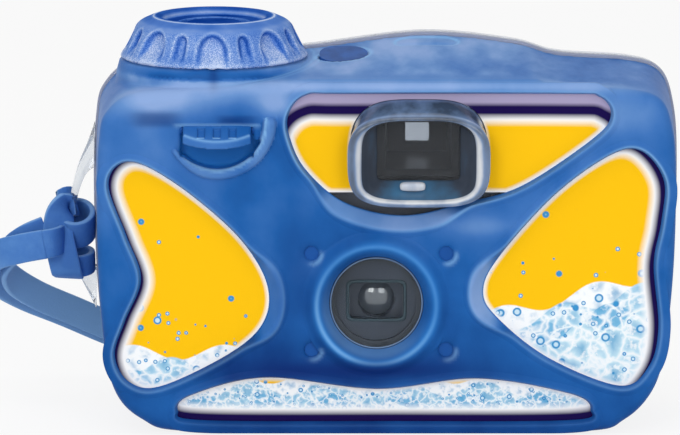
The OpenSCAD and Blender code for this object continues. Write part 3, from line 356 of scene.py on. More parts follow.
class Finish:
    """A material whose colour, roughness and bump come from noise in the object's own space."""

    def __init__(self, name, colour, rough, **sockets):
        self.mat = bpy.data.materials.new(name)
        self.mat.use_nodes = True
        self.mat.diffuse_color = colour
        self.tree = self.mat.node_tree
        self.shader = self.tree.nodes["Principled BSDF"]
        for key, value in sockets.items():
            self.shader.inputs[SOCKETS[key]].default_value = value
        self.place = self.node("TexCoord").outputs["Object"]
        self.colour, self.rough = colour, rough

    def link(self, a, b):
        self.tree.links.new(a, b)

    def put(self, value, socket):
        """Sets a socket, or links it where the value is a socket too."""
        if isinstance(value, bpy.types.NodeSocket):
            self.link(value, socket)
        else:
            socket.default_value = value

    def node(self, kind, **values):
        """A node with its settings and its inputs."""
        n = self.tree.nodes.new("ShaderNode" + kind)
        for key, value in values.items():
            socket = n.inputs.get(key.replace("_", " "))
            if socket is None:
                setattr(n, key, value)
            else:
                self.put(value, socket)
        return n

    def noise(self, per_metre, detail=3.0, stretch=None):
        place = self.place
        if stretch:
            place = self.node("Mapping", Vector=place, Scale=stretch).outputs["Vector"]
        return self.node("TexNoise", Scale=per_metre, Detail=detail, Vector=place).outputs["Fac"]

    def warp(self, per_metre, reach):
        """The object's own space, bent by noise."""
        bend = self.node("TexNoise", Scale=per_metre, Detail=2.0, Vector=self.place).outputs["Color"]
        n = self.node("VectorMath", operation="MULTIPLY_ADD")
        for value, socket in zip((bend, (reach,) * 3, self.place), n.inputs):
            self.put(value, socket)
        return n.outputs[0]

    def math(self, operation, a, b=None, clamp=False):
        n = self.node("Math", operation=operation, use_clamp=clamp)
        for value, socket in zip((a, b), n.inputs):
            if value is not None:
                self.put(value, socket)
        return n.outputs[0]

    def spread(self, fac, low, high, start=0.3, end=0.7):
        """From low to high as a value goes from start to end."""
        n = self.node("MapRange", Value=fac, From_Min=start, From_Max=end, To_Min=low, To_Max=high)
        return n.outputs["Result"]

    def mix(self, fac, a, b):
        n = self.node("Mix", data_type="RGBA", Factor=fac)
        for value, socket in zip((a, b), [s for s in n.inputs if s.type == "RGBA"]):
            self.put(value, socket)
        return [s for s in n.outputs if s.type == "RGBA"][0]

    def ramp(self, fac, stops):
        """Colour along evenly blended stops of (place, colour)."""
        colour = stops[0][1]
        for (a, _), (b, then) in zip(stops, stops[1:]):
            colour = self.mix(self.spread(fac, 0.0, 1.0, a, b), colour, then)
        return colour

    def value(self, name):
        return self.node("Attribute", attribute_name=name).outputs["Fac"]

    def axis(self, k):
        return self.node("SeparateXYZ", Vector=self.place).outputs[k]

    def done(self, tint=None, vary=0.12, blotch=60.0, grain=2200.0, depth=0.00002, rough_vary=0.06):
        """Links colour, roughness and a fine moulded grain, and gives the material."""
        soft, fine = self.noise(blotch), self.noise(grain, 2.0)
        if tint is None:
            dark = tuple(c * (1 - vary) for c in self.colour[:3]) + (1.0,)
            tint = self.mix(self.spread(soft, 0.0, 1.0), self.colour, dark)
        mixed = self.math("ADD", self.math("MULTIPLY", soft, 0.6), self.math("MULTIPLY", fine, 0.4))
        rough = self.spread(mixed, self.rough - rough_vary, self.rough + rough_vary)
        bump = self.node("Bump", Strength=1.0, Distance=depth, Height=fine).outputs["Normal"]
        for key, value in (("Base Color", tint), ("Roughness", rough), ("Normal", bump)):
            self.link(value, self.shader.inputs[key])
        return self.mat


# Tones from the shaded plastic to the brightly lit
BLUES = [(0.0, rgb(8, 56, 124)), (0.3, rgb(32, 98, 174)), (0.5, rgb(64, 118, 190)),
         (0.75, rgb(102, 146, 206)), (1.0, rgb(142, 172, 222))]
KNOB_BLUES = [(0.0, rgb(12, 58, 146)), (0.3, rgb(48, 98, 184)), (0.55, rgb(88, 130, 204)),
              (0.8, rgb(134, 164, 218)), (1.0, rgb(196, 211, 240))]
# Painted light and shade on the shell: a saturated lit ring on the lens funnel's crest and in the scoop's
# hollow, painted highlights along lips and edges, and painted shade, whose tone also draws the turret's index
# mark
SHELL_LIGHT_AND_SHADE = {"ring": rgb(48, 140, 222), "glow": rgb(138, 190, 238), "shade": rgb(10, 46, 116)}


def shell_blue():
    f = Finish("frosted_blue", rgb(32, 98, 174), 0.4, ior=1.45, gloss=0.05, clear=0.05)
    cloud = f.spread(f.noise(45.0, 5.0, (1.0, 1.0, 0.45)), -0.13, 0.13)
    patches = f.spread(f.noise(110.0, 4.0, (1.0, 0.5, 1.0)), -0.26, 0.26)
    mottle = f.math("MULTIPLY", patches, f.value("mottle"))
    # The painted light level from the light attribute, varied by random cloud and patches, picks the tone
    # along BLUES
    level = f.math("ADD", f.math("ADD", f.value("light"), cloud), mottle, True)
    colour = f.ramp(level, BLUES)
    for name, tone in SHELL_LIGHT_AND_SHADE.items():
        colour = f.mix(f.value(name), colour, tone)
    return f.done(tint=colour, grain=1500.0, depth=0.00003)


def small_blue():
    f = Finish("small_blue", rgb(28, 88, 168), 0.36, ior=1.45, gloss=0.12)
    return f.done(vary=0.2, grain=1500.0)


def knob_blue():
    f = Finish("knob_blue", rgb(110, 146, 208), 0.3, ior=1.5, gloss=0.0)
    speck = f.math("MULTIPLY", f.spread(f.noise(4200.0, 2.0), -0.16, 0.16, 0.4, 0.62), f.value("frost"))
    cloud = f.spread(f.noise(160.0, 3.0), -0.12, 0.12)
    # The painted light level from the knob's light attribute, with random cloud and frost speckle
    level = f.math("ADD", f.math("ADD", f.value("light"), cloud), speck, True)
    return f.done(tint=f.ramp(level, KNOB_BLUES), grain=3000.0, depth=0.00003)


def clear_plastic(name, colour):
    f = Finish(name, colour, 0.02, ior=1.12, clear=1.0)
    return f.done(vary=0.03, grain=500.0, depth=0.000002, rough_vary=0.02)


def dark_plastic(name, colour, rough):
    f = Finish(name, colour, rough, ior=1.5, gloss=0.25)
    return f.done(vary=0.2, grain=2600.0, depth=0.00003)


def strap_blue():
    f = Finish("strap_blue", rgb(70, 124, 192), 0.55, gloss=0.1)
    worn = f.spread(f.noise(320.0, 5.0), 0.0, 0.5, 0.45, 0.8)
    tone = f.mix(worn, rgb(72, 122, 192), rgb(98, 148, 208))
    # Painted light: the light attribute lifts the blue towards pale on the bands' edges and low on the loop
    return f.done(tint=f.mix(f.value("light"), tone, rgb(134, 178, 226)), grain=2600.0, depth=0.00005)


# Strap: the wrist loop is the free cord; painted light lies along the two edges of its section, and low on
# the loop
UP = (0, 0, 1)
EDGE_LIGHT = np.array([0.75, 0.5] + [0.0] * 7 + [0.5, 0.75, 0.5] + [0.0] * 7 + [0.5])
strap = strap_blue()
loop_path, loop_rings = band(STRAP_ROUTE, [UP] * len(STRAP_ROUTE), STRAP_W, STRAP_T)
points, faces = rings_mesh(loop_rings)
light = maximum(0.8 * smooth(34, 24, points[:, 2]), np.tile(EDGE_LIGHT, len(loop_rings)))
strap_loop = add_mesh("strap_loop_band", points, faces, strap, "strap_rubber", ("strap_loop",),
                      {"light": light})

# Hitch round the lug: a front turn, two turns as (centre, radii, tilt, width), and a tail that takes the
# loop's far end in behind the front turn
HITCH_FRONT = [(-65.6, 9.4, 43.2), (-67.2, 6.6, 43.4), (-68.4, 4.6, 40.6), (-68.6, 3.4, 37), (-67.8, 3, 33),
               (-67, 3.6, 29.4), (-66.6, 6, 28)]
HITCH_FRONT_SIDE = [(0.3, 0.9, 0.3), (0.4, 0.85, 0.3), (0.8, 0.45, 0.3), (0.97, 0.1, 0.2), (0.98, 0, 0.2),
                    (0.98, 0, 0), (1, 0, -0.1)]
HITCH_TURNS = [((-65.1, 8.7, 38.7), (3.5, 4.1), 0.45, 6.2), ((-65.2, 8.9, 30.6), (3.4, 3.7), 0.15, 4.6)]
HITCH_TAIL = [(-72, -1, 35.87), (-71.3, -1, 36), (-69.7, -0.6, 36.2), (-68.5, 0.8, 36.3), (-67.9, 2.8, 36.3)]
pieces = [rings_mesh(band(HITCH_FRONT, HITCH_FRONT_SIDE, STRAP_W + 0.2, STRAP_T)[1]),
          rings_mesh(band(HITCH_TAIL, [UP] * len(HITCH_TAIL), STRAP_W - 0.1, STRAP_T - 0.1)[1])]
angle = 2 * np.pi * np.arange(49) / 48
for centre, radii, tilt, width in HITCH_TURNS:
    turn = np.stack([radii[0] * np.cos(angle), radii[1] * np.sin(angle), tilt * radii[1] * np.sin(angle)], 1)
    lean = np.tile((0.0, -tilt, 1.0), (len(turn), 1))
    _, rings = band(turn + centre, lean, width, STRAP_T, steps=2)
    pieces.append(rings_mesh(rings[:-1], loop=True))
points, faces = merge(*pieces)
# Painted light along the band's edges, as on the loop
add_mesh("strap_hitch", points, faces, strap, "strap_rubber", ("strap_knot",),
         {"light": np.tile(EDGE_LIGHT, len(points) // len(EDGE_LIGHT))})

# Outline fields of the case in the front plane
FACE_TOP, SEAM_TOP, BEND_Z, SIDE_DRAFT = 74.0, 76.0, 60.0, 1.2
FUNNEL_CREST, FUNNEL_FOOT = 12.3, 16.6
LIP_SINK, PIN_SINK, PIN_DISH_R = 0.4, 0.6, 2.3
PINS = [(x, z) for x in PIN_X for z in PIN_Z]
seam_line = spline(SEAM, 8, True)
seam_line[:, 1] = maximum(seam_line[:, 1], 0)
seam_z = seam_line[:, 1]
drawn_in = (minimum(seam_z, SEAM_TOP) - BEND_Z) * (FACE_TOP - BEND_Z) / (SEAM_TOP - BEND_Z)
face_z = where(seam_z < BEND_Z, seam_z, BEND_Z + drawn_in)
face_line = np.stack([seam_line[:, 0] * (1 - 2 * SIDE_DRAFT / CASE_W), face_z], 1)
seam_map, face_map = distance_map(seam_line), distance_map(face_line)
opening_lines = {k: spline(p, 8, True) for k, p in OPENINGS.items()}
opening_maps = {k: distance_map(p) for k, p in opening_lines.items()}
hood_map = distance_map(soft_rect(HOOD_W, HOOD_H, HOOD_POINTS, HOOD_ROUND) + FINDER)


def side(x, y, z):
    """Distance to the case's outline at depth y."""
    t = clip((Y_SEAM - y) / (Y_SEAM - Y_EDGE), 0, 1)
    return (1 - t) * sample(seam_map, x, z) + t * sample(face_map, x, z)


def lens_radius(x, z):
    return hypot(x - LENS[0], z - LENS[1])


def knob_radius(x, y):
    return hypot(x - KNOB[0], y - KNOB[1])


def bevel(name, x, z):
    """Width of a label's bevel near a point."""
    near = 0.0 if name == "bottom" else smooth(*BEVEL_REACH, lens_radius(x, z))
    return BEVEL_SLIM + (BEVEL_WIDE - BEVEL_SLIM) * near + np.zeros_like(x)


def relief(x, z):
    """How far the front skin stands in front of the face: below nought under the lips and round the pins."""
    h = np.zeros_like(x)
    for name, field in opening_maps.items():
        h -= LIP_SINK * (1 - smooth(-0.4, 1.2, sample(field, x, z) - bevel(name, x, z)))
    h -= LIP_SINK * (1 - smooth(FUNNEL_CREST, FUNNEL_FOOT, lens_radius(x, z)))
    for px, pz in PINS:
        h -= PIN_SINK * exp(-(hypot(x - px, z - pz) / PIN_DISH_R) ** 4)
    return h


# The scoop's mouth: a slot that the ledge comes out of, and a crescent under it with a pointed left end
BROW_Z, SLOT_W, SLOT_RISE, SMILE_Z, SMILE_TILT, SMILE_SCALE = 64.3, 15.0, 3.0, 60.6, 0.12, 0.98
# The guard under it: radius, its share at the thin end, how far it lies from the mouth and in front of the
# face, and angles in degrees
GUARD_R, GUARD_SLIM, GUARD_OUT, GUARD_AHEAD = 1.35, 0.35, 0.8, 0.6
GUARD_START, GUARD_FULL, GUARD_END = 216, 262, 357


def scoop(x, z, grow):
    slot = maximum(np.abs(x - LEVER[0]) - SLOT_W / 2, np.abs(z - BROW_Z + SLOT_RISE) - SLOT_RISE)
    top = (z - SMILE_Z + SMILE_TILT * (LEVER[0] - x)) * SMILE_SCALE
    smile = maximum(hypot(x - LEVER[0], z - SCOOP_Z) - SCOOP_R, top)
    return minimum(slot, smile) - grow


def guard(x, y, z):
    """Tube along the scoop's lower rim, thin at its left end."""
    a = np.degrees(arctan2(z - SCOOP_Z, x - LEVER[0])) % 360
    b = clip(where(a < 90, a + 360, a), GUARD_START, GUARD_END)
    size = GUARD_R * (GUARD_SLIM + (1 - GUARD_SLIM) * smooth(GUARD_START, GUARD_FULL, b))
    arc = SCOOP_R + GUARD_OUT
    ax = LEVER[0] + arc * np.cos(np.radians(b))
    az = SCOOP_Z + arc * np.sin(np.radians(b))
    return np.sqrt((x - ax) ** 2 + (y - Y_FACE + GUARD_AHEAD) ** 2 + (z - az) ** 2) - size


TURRET_EDGE = [(TURRET_FOOT, TURRET_R), (72.5, TURRET_R), (75.0, TURRET_R - 0.7), (75.5, TURRET_R - 1.6),
               (TURRET_TOP, TURRET_R - 2.2)]


def turret(x, y, z):
    edge = interp(z, *zip(*TURRET_EDGE))
    return maximum(rounded(knob_radius(x, y) - edge, z - TURRET_TOP, 0.8), TURRET_FOOT - z)


# In the top: a hole over the counter, an engraved oval, the shaft's hole, and the height that they start from
EYE, EYE_HALF = (-8.75, -0.8), (5.1, 4.55)
OVAL_X, OVAL_Y, OVAL_R, OVAL_DEPTH, OVAL_LINE = (4.4, 12.7), 4.4, 2.0, 0.28, 0.45
SHAFT_HOLE_R, DECK_Z = 6.2, 70
# In the front: the pocket's wall, and the slot for the lever's arm
POCKET_WALL, ARM_X, ARM_SLOT_HALF, ARM_SLOT_Z, ARM_SLOT_RISE = 1.2, -31.75, 2.3, 63.6, 1.8


def eye(x, y):
    return hypot((x - EYE[0]) / EYE_HALF[0], (y - EYE[1]) / EYE_HALF[1]) * EYE_HALF[1] - EYE_HALF[1]


def oval(x, y):
    return hypot(x - clip(x, *OVAL_X), y - OVAL_Y) - OVAL_R


def front_shell(x, y, z):
    """Blue front half: a hollow drafted skin with the turret and the guard, and its openings."""
    edge, r = side(x, y, z), knob_radius(x, y)
    outer = maximum(rounded(edge, Y_FACE - y - relief(x, z), EDGE_R), y - Y_SEAM)
    outer = join(outer, turret(x, y, z), 0.5)
    outer = outer + where(z > DECK_Z, OVAL_DEPTH * peak(oval(x, y), 0, OVAL_LINE), 0)
    cavity = maximum(rounded(edge + WALL, Y_LABEL - y, CAVITY_ROUND), y - Y_SEAM - 0.01)
    drum = maximum(z - TURRET_TOP + TURRET_ROOF, TURRET_BASE - z)
    cavity = minimum(cavity, maximum(r - TURRET_R + TURRET_WALL, drum))
    f = join(maximum(outer, -cavity), guard(x, y, z), 0.7)
    pocket = maximum(scoop(x, z, POCKET_WALL), maximum(y - Y_SCOOP - POCKET_WALL, Y_FACE + 0.3 - y))
    f = cut(minimum(f, pocket), maximum(scoop(x, z, 0), y - Y_SCOOP), 0.6)
    slot = maximum(np.abs(x - ARM_X) - ARM_SLOT_HALF, np.abs(z - ARM_SLOT_Z) - ARM_SLOT_RISE)
    f = cut(f, maximum(slot, np.abs(y - Y_SCOOP) - 3))
    for name, field in opening_maps.items():
        f = cut(f, maximum(sample(field, x, z) - 0.6 * bevel(name, x, z), y - Y_EDGE))
    f = cut(f, maximum(lens_radius(x, z) - FUNNEL_CREST, y - Y_EDGE))
    f = cut(f, maximum(sample(hood_map, x, z) - 0.3, y - Y_EDGE))
    for px, pz in PINS:
        f = cut(f, maximum(hypot(x - px, z - pz) - PIN_R + 0.1, y - Y_EDGE), 0.5)
    f = cut(f, maximum(r - SHAFT_HOLE_R, DECK_Z - z))
    return cut(f, maximum(eye(x, y), DECK_Z - z), 0.3)


# In the rear half: gaps at the seam, round the turret and under it, and the depth of the eyepiece's opening
SEAM_GAP, TURRET_GAP, TURRET_DROP, SIGHT_DEPTH = 0.05, 0.15, 0.2, 4


def rear_shell(x, y, z):
    """Clear rear half: a thin tray, cut out for the turret and the eyepiece."""
    edge = sample(seam_map, x, z)
    outer = maximum(rounded(edge, y - Y_BACK, BACK_R), -z)
    inner = rounded(edge + CLEAR_WALL, y - Y_BACK + CLEAR_WALL, BACK_R - CLEAR_WALL)
    f = maximum(maximum(outer, -inner), Y_SEAM + SEAM_GAP - y)
    f = maximum(f, -maximum(knob_radius(x, y) - TURRET_R - TURRET_GAP, TURRET_FOOT - TURRET_DROP - z))
    sight = maximum(np.abs(x - FINDER[0]) - EYEPIECE[0] / 2, np.abs(z - FINDER[1]) - EYEPIECE[1] / 2)
    return maximum(f, -maximum(sight, Y_BACK - SIGHT_DEPTH - y))


# Soft patches of painted light and shade on the shell, each with its centre, half size and strength: where it
# is lit, where its lips gather light, where it lies in painted shade (the first of these is instead the
# turret's dark index mark), and the shapes inside that show through, painted as shade
LIGHTS = [((-47, 70), (10, 3.4), 0.58), ((-30, 70.6), (9, 2.0), 0.3), ((-23, 69), (4, 3.2), 0.65),
          ((50, 67), (8, 4.5), 0.3), ((20, 43.5), (9, 2.2), 0.3), ((2, 72.8), (60, 1.5), 0.65),
          ((26, 47), (12, 4), 0.12), ((-58, 52), (2.2, 12), 0.06)]
LIP_LIGHTS = [((-20, 60), (6, 9), 1), ((55, 55), (8, 12), 1), ((20, 45), (9, 4), 1.4),
              ((-57, 40), (5, 24), 0.6)]
SHADES = [((-35.4, 74.6), (1.0, 2.4), 0.6), ((-5, 13.2), (24, 2.4), 1.0), ((-18, 33), (5, 13), 0.4),
          ((-24, 14), (8, 4), 0.4), ((0, 1), (60, 3), 0.45), ((12, 16), (9, 3), 0.3)]
INNER = [((-47.2, 65.9), (4.9, 1.6), 0.62), ((-30.6, 65.7), (4.0, 1.0), 0.6)]


def spots(x, z, table, power=2):
    """Sum of soft patches; a higher power gives one a plainer middle and a crisper edge."""
    return sum(strength * exp(-np.abs((x - c[0]) / h[0]) ** power - np.abs((z - c[1]) / h[1]) ** power)
               for c, h, strength in table)


def shell_light(p):
    """Where the shell is lit through, where its lips gather light and where it lies in shade."""
    x, y, z = p.T
    front = smooth(-18.5, -20.0, y)
    ahead = smooth(-10, -18, y)
    # Painted light: lighter towards the top and the sides, with the painted lit patches ahead
    light = 0.15 + 0.2 * smooth(8, 60, z) + 0.09 * smooth(25, 55, np.abs(x)) + ahead * spots(x, z, LIGHTS)

    # The top painted lighter, the turret's wall painted darker, and painted highlight lines round the
    # turret's foot, the oval and the hole
    top = smooth(70.5, 73, z) * smooth(-19.5, -15, y)
    foot = knob_radius(x, y) - TURRET_R
    tower = smooth(1.5, 0.2, np.abs(foot)) * smooth(73.2, 73.8, z)
    deck = 0.66 + 0.2 * exp(-(x / 20) ** 2) - 0.16 * smooth(30, 50, x)
    light += top * (deck - light) + tower * (0.2 - light)
    glow = 0.5 * (peak(foot, 0.5, 0.4) + 0.6 * peak(foot, 2.0, 0.4)) * smooth(72, 73, z)
    glow += (0.8 * peak(oval(x, y), 0.5, 0.35) + 0.7 * peak(eye(x, y), 0.5, 0.4)) * smooth(70, 72, z)

    # The labels' bevels, painted lighter, and painted highlights along their lips
    for name, field in opening_maps.items():
        o, w = sample(field, x, z), bevel(name, x, z)
        slope = smooth(0, 0.3, o) * smooth(w + 0.2, w - 0.4, o) * smooth(1.0, 2.4, w)
        light += slope * ((0.5 if name == "left" else 0.8) - light) * front
        lip = (0.3 if name == "bottom" else 1.0) * front * (0.25 + 0.4 * spots(x, z, LIP_LIGHTS))
        glow += lip * peak(o, w, 0.3)

    # Painted highlights on the lens funnel's crest and inside it, and round the pins, brightest on the side
    # away from the light
    r = lens_radius(x, z)
    low = 0.25 + 0.75 * smooth(0.5, -0.9, ((z - LENS[1]) + 0.5 * (x - LENS[0])) / maximum(r, 1))
    ring = front * (0.35 + 0.65 * low) * peak(r, FUNNEL_CREST, 0.7)
    well = 0.3 * low * smooth(12, 10.5, r) * (r < 12)
    glow += front * low * (0.6 * peak(r, FUNNEL_CREST, 0.4) + well)
    for px, pz in PINS:
        d = hypot(x - px, z - pz)
        away = smooth(0.3, 0.9, ((x - px) - (z - pz)) / maximum(1.4 * d, 0.1))
        glow += front * 0.55 * peak(d, 2.1, 0.45) * away

    # The scoop's guard painted lighter, painted highlights along the guard's inner edge and the brow, and the
    # hollow painted a saturated blue against its shadow, with no painted shade
    bow = hypot(x - LEVER[0], z - SCOOP_Z)
    on_guard = (guard(x, y, z) < 0.4) & (y < Y_FACE - 0.2)
    light = where(on_guard, 0.5 + 0.2 * smooth(4, 10, x - LEVER[0]), light)
    glow += on_guard * peak(bow, SCOOP_R + 0.05, 0.28)
    glow += front * 0.7 * peak(z, BROW_Z + 0.25, 0.3) * smooth(9.2, 8.4, np.abs(x - LEVER[0]))
    hollow = (scoop(x, z, 0) < 0.2) & (y > Y_FACE + 0.2) & (y < Y_SCOOP + 0.3)
    light = where(hollow, 0.24, light)
    ring = where(hollow, 0.6, ring)
    shade = ahead * (spots(x, z, SHADES) + spots(x, z, INNER, 4)) * ~hollow
    mottle = 0.25 + 0.75 * top * (1 - tower)
    painted = {"light": light, "glow": glow, "shade": shade, "ring": ring, "mottle": mottle}
    return {key: clip(value, 0, 1) for key, value in painted.items()}


# Rear half: the tray, and a rim swept along the seam, as (mm outside, mm behind the seam)
REAR_RIM = [(-1.0, SEAM_GAP), (0.3, SEAM_GAP), (RIM_LIP, 0.3), (RIM_LIP, RIM_D - 0.4), (0.2, RIM_D),
            (-1.0, RIM_D)]
points, faces = rim(spline(SEAM, 20, True), [(0, out, Y_SEAM + y) for out, y in REAR_RIM])
points[:, 2] = maximum(points[:, 2], 0)
rim_mat = Finish("rim_clear", rgb(176, 184, 210), 0.15, ior=1.2, clear=0.45, gloss=0.3)
add_mesh("rear_shell_rim", points, faces, rim_mat.done(vary=0.08, blotch=120.0), "clear_plastic")
points, faces = surface_net(rear_shell, (-63, 7.5, -1), (63, 22.5, 81), REAR_CELL)
points[:, 2] = maximum(points[:, 2], 0)
rear_mat = Finish("case_clear", rgb(218, 226, 238), 0.06, ior=1.2, clear=0.84, gloss=0.4)
rear_mat = rear_mat.done(vary=0.06, grain=900.0, depth=0.000004, rough_vary=0.03)
add_mesh("rear_shell_tray", points, faces, rear_mat, "clear_plastic", ("rear_shell",), sharp=60)

# Front half: the skin, the lens funnel as (radius, depth), and a rolled lip round each label, with its crest
# at the bevel's width and a slope down to the label
LIP = [(1, 1.9, -21.25), (1, 1.1, -21.6), (1, 0.5, -21.84), (1, 0, -21.92), (0.8, 0, -21.78), (0.5, 0, -21.2),
       (0.2, 0, -20.6), (0, 0, -20.25)]
LIP_BACK = [(0, 0, -20.12), (1, 1.9, -20.7)]
FUNNEL = [(15.5, -21.38), (15.1, -21.5), (14.7, -21.72), (14.2, -22.15), (13.6, -22.7), (12.9, -23.05),
          (12.3, -23.15), (11.7, -22.95), (11, -22.3), (10.4, -21.4), (10, -20.6), (9.7, -20.0)]
FUNNEL_BACK = [(9.7, -19.9), (15.5, -20.5)]
circle = 2 * np.pi * np.arange(144) / 144
lens_ring = np.stack([np.cos(circle), np.sin(circle)], 1) + LENS
trims = [rim(lens_ring, [(0, r - 1, y) for r, y in list(spline(FUNNEL, 3, False)) + FUNNEL_BACK])]
for name, outline in OPENINGS.items():
    line = spline(outline, 14, True)
    trims.append(rim(line, list(spline(LIP, 3, False)) + LIP_BACK, bevel(name, *line.T)))
points, faces = merge(surface_net(front_shell, (-62, -24, -1), (62, 22, 80), FRONT_CELL), *trims)
points[:, 2] = maximum(points[:, 2], 0)
shell_mat = shell_blue()
add_mesh("front_shell_skin", points, faces, shell_mat, "blue_shell", ("front_shell",), shell_light(points))


# Knob: a fluted cone with a crown, a dish in its top and a ring groove in the dish
KNOB_R, SHOULDER_R, SHOULDER_Z, CROWN_R, DISH_R, FLUTES = 19.6, 16.0, 82.7, 12.6, 11.2, 8
DISH_DEPTH, GROOVE_R, GROOVE_HALF, GROOVE_DEPTH, KNOB_ROOF, HUB_R, SHAFT_R = 1.5, 6.4, 0.7, 2.1, 3.6, 6.6, 4.1
KNOB_ROOM = ([KNOB_FOOT, 76.5, 76.7], [19.0, 18.5, 14.0])
# Flutes: half width, depth and top
WIDE_FLUTE, SLIM_FLUTE = (3.3, 1.5, 82.6), (1.5, 1.1, 82.2)
knob_slope = (KNOB_R - SHOULDER_R) / (SHOULDER_Z - KNOB_FOOT)
crown_slope = (KNOB_TOP - SHOULDER_Z) / (SHOULDER_R - CROWN_R)


def flute(a, z, turn, half, top):
    """Distance to an arched flute on the knob's side, repeated round it and negative inside."""
    step = 2 * np.pi / FLUTES
    a = (a - turn + step / 2) % step - step / 2
    across = a * (KNOB_R - (z - KNOB_FOOT) * knob_slope)
    spread = half * (1.16 - 0.28 * (z - KNOB_FOOT) / (top - KNOB_FOOT))
    return hypot(across * half / spread, maximum(z - top + half, 0)) - half


def flutes(x, y, z):
    """Distances to the wide flutes and to the slim ones between them."""
    a = arctan2(y - KNOB[1], x - KNOB[0]) + np.pi / 2
    return (flute(a, z, 0, WIDE_FLUTE[0], WIDE_FLUTE[2]),
            flute(a, z, np.pi / FLUTES, SLIM_FLUTE[0], SLIM_FLUTE[2]))


def knob(x, y, z):
    r = knob_radius(x, y)
    cone = (r - KNOB_R + (z - KNOB_FOOT) * knob_slope) / math.hypot(1, knob_slope)
    crown = (z - KNOB_TOP + (r - CROWN_R) * crown_slope) / math.hypot(1, crown_slope)
    wide, slim = flutes(x, y, z)
    fade = smooth(KNOB_FOOT + 0.7, KNOB_FOOT + 3.6, z)
    cone = cone + fade * (WIDE_FLUTE[1] * smooth(0.2, -1.4, wide) + SLIM_FLUTE[1] * smooth(0.2, -1.0, slim))
    f = rounded(-join(-cone, -crown, 0.9), z - KNOB_TOP, 0.25)
    f = maximum(f, KNOB_FOOT - z)
    f = cut(f, maximum(r - DISH_R + 0.5 * (KNOB_TOP - z), KNOB_TOP - DISH_DEPTH - z), 0.5)
    f = maximum(f, -maximum(np.abs(r - GROOVE_R) - GROOVE_HALF, KNOB_TOP - GROOVE_DEPTH - z))
    roof = z - KNOB_TOP + KNOB_ROOF
    hollow = maximum(maximum(r - interp(z, *KNOB_ROOM), HUB_R - r), roof)
    return maximum(maximum(f, -hollow), -maximum(r - SHAFT_R, roof))


def knob_light(x, y, z):
    """Painted light on the knob: pale foot, flutes with a painted bright edge and a dark one, a painted
    highlight on the crown's edge, and a darker dish with fine painted glint rings.
    """
    r = knob_radius(x, y)
    wide, slim = flutes(x, y, z)
    light = 0.65 - 0.18 * smooth(82.9, 83.6, z) + 0.14 * smooth(-0.6, -1.6, wide) + 0.2 * smooth(77.2, 76, z)
    for edge in (wide, slim):
        line = 0.2 * peak(edge, 0.15, 0.25) - 0.36 * peak(edge, -0.6, 0.35)
        light += smooth(KNOB_FOOT, KNOB_FOOT + 3.2, z) * line
    light += 0.8 * peak(r, CROWN_R, 0.22)
    dish = 0.06 + 0.75 * peak(r, 10.7, 0.25) + 0.55 * peak(r, 7.3, 0.25)
    light = where(r > CROWN_R - 0.5, light, where(r > DISH_R - 0.2, 0.2, dish))
    return {"light": clip(light, 0, 1), "frost": (r > CROWN_R) * smooth(83.2, 81.5, z)}


points, faces = surface_net(knob, (-56, -19.5, 75), (-15.5, 21.5, 85), KNOB_CELL)
add_mesh("wind_knob_cap", points, faces, knob_blue(), "blue_shell", ("wind_knob",), knob_light(*points.T),
         body="winder")


# Shutter lever: a bowed, notched ledge on its hinge, with an arm that reaches in
LEVER_W, LEVER_REACH, LEVER_SLOPE, BARREL_R, HINGE_R = 13.9, 6.2, 0.5, 1.4, 1.0
BOW_R, UNDER_Z, UNDER_SLOPE = LEVER_W * 0.9, -1.4, 0.365
NOTCH_X, NOTCH_HALF, NOTCH_Y, NOTCH_REACH, NOTCH_DEPTH = 3.2, 0.75, -3.1, 1.5, 0.6
ARM_HALF, ARM_END, ARM_T = 2.0, 11.0, 2.2
# Scales that make the fields of the sloped faces true distances
TOP_SCALE, UNDER_SCALE = 0.894, 0.939


def lever_top(y, z):
    return z - BARREL_R - LEVER_SLOPE * y


def lever_bow(x, y):
    return hypot(x, y - BOW_R + LEVER_REACH) - BOW_R


def lever(x, y, z):
    x, y, z = x - LEVER[0], y - Y_HINGE, z - LEVER[1]
    barrel = maximum(hypot(y, z) - BARREL_R, np.abs(x) - LEVER_W / 2)
    top = lever_top(y, z) * TOP_SCALE
    under = (UNDER_Z + UNDER_SLOPE * (y + 1) - z) * UNDER_SCALE
    bow = maximum(lever_bow(x, y), np.abs(x) - LEVER_W / 2)
    ledge = maximum(maximum(rounded(top, bow, 0.6), under), y)
    f = join(barrel, ledge, 0.3)
    for nx in (-NOTCH_X, 0, NOTCH_X):
        notch = maximum(np.abs(x - nx) - NOTCH_HALF, np.abs(y - NOTCH_Y) - NOTCH_REACH)
        f = cut(f, maximum(notch, -top - NOTCH_DEPTH), 0.25)
    arm = maximum(maximum(np.abs(x - ARM_X + LEVER[0]) - ARM_HALF, np.abs(z) - ARM_T / 2),
                  maximum(-y, y - ARM_END))
    return maximum(minimum(f, arm), HINGE_R + 0.05 - hypot(y, z))


def lever_light(x, y, z):
    """Painted highlights at the ends of the notches, along the lip and on the hinge line, and a painted light
    level a little higher towards the bow's edge.
    """
    x = x - LEVER[0]
    bow = lever_bow(x, y - Y_HINGE)
    end = peak(y, -24.9, 0.25) * (minimum(np.abs(x), np.abs(np.abs(x) - NOTCH_X)) < NOTCH_HALF)
    lip = exp(-((bow + 0.15) / 0.3) ** 2 - (lever_top(y - Y_HINGE, z - LEVER[1]) / 0.25) ** 2)
    hinge = peak(z, 65.0, 0.3) * (y > -21)
    return {"glow": clip(end + 0.8 * lip + 0.4 * hinge, 0, 1), "light": 0.36 + 0.08 * smooth(-0.4, 0, bow)}


points, faces = surface_net(lever, (-43, -27.5, 59), (-26.5, -8, 66.5), LEVER_CELL)
add_mesh("shutter_lever_ledge", points, faces, shell_mat, "blue_shell", ("shutter_lever",),
         lever_light(*points.T), body="lever")
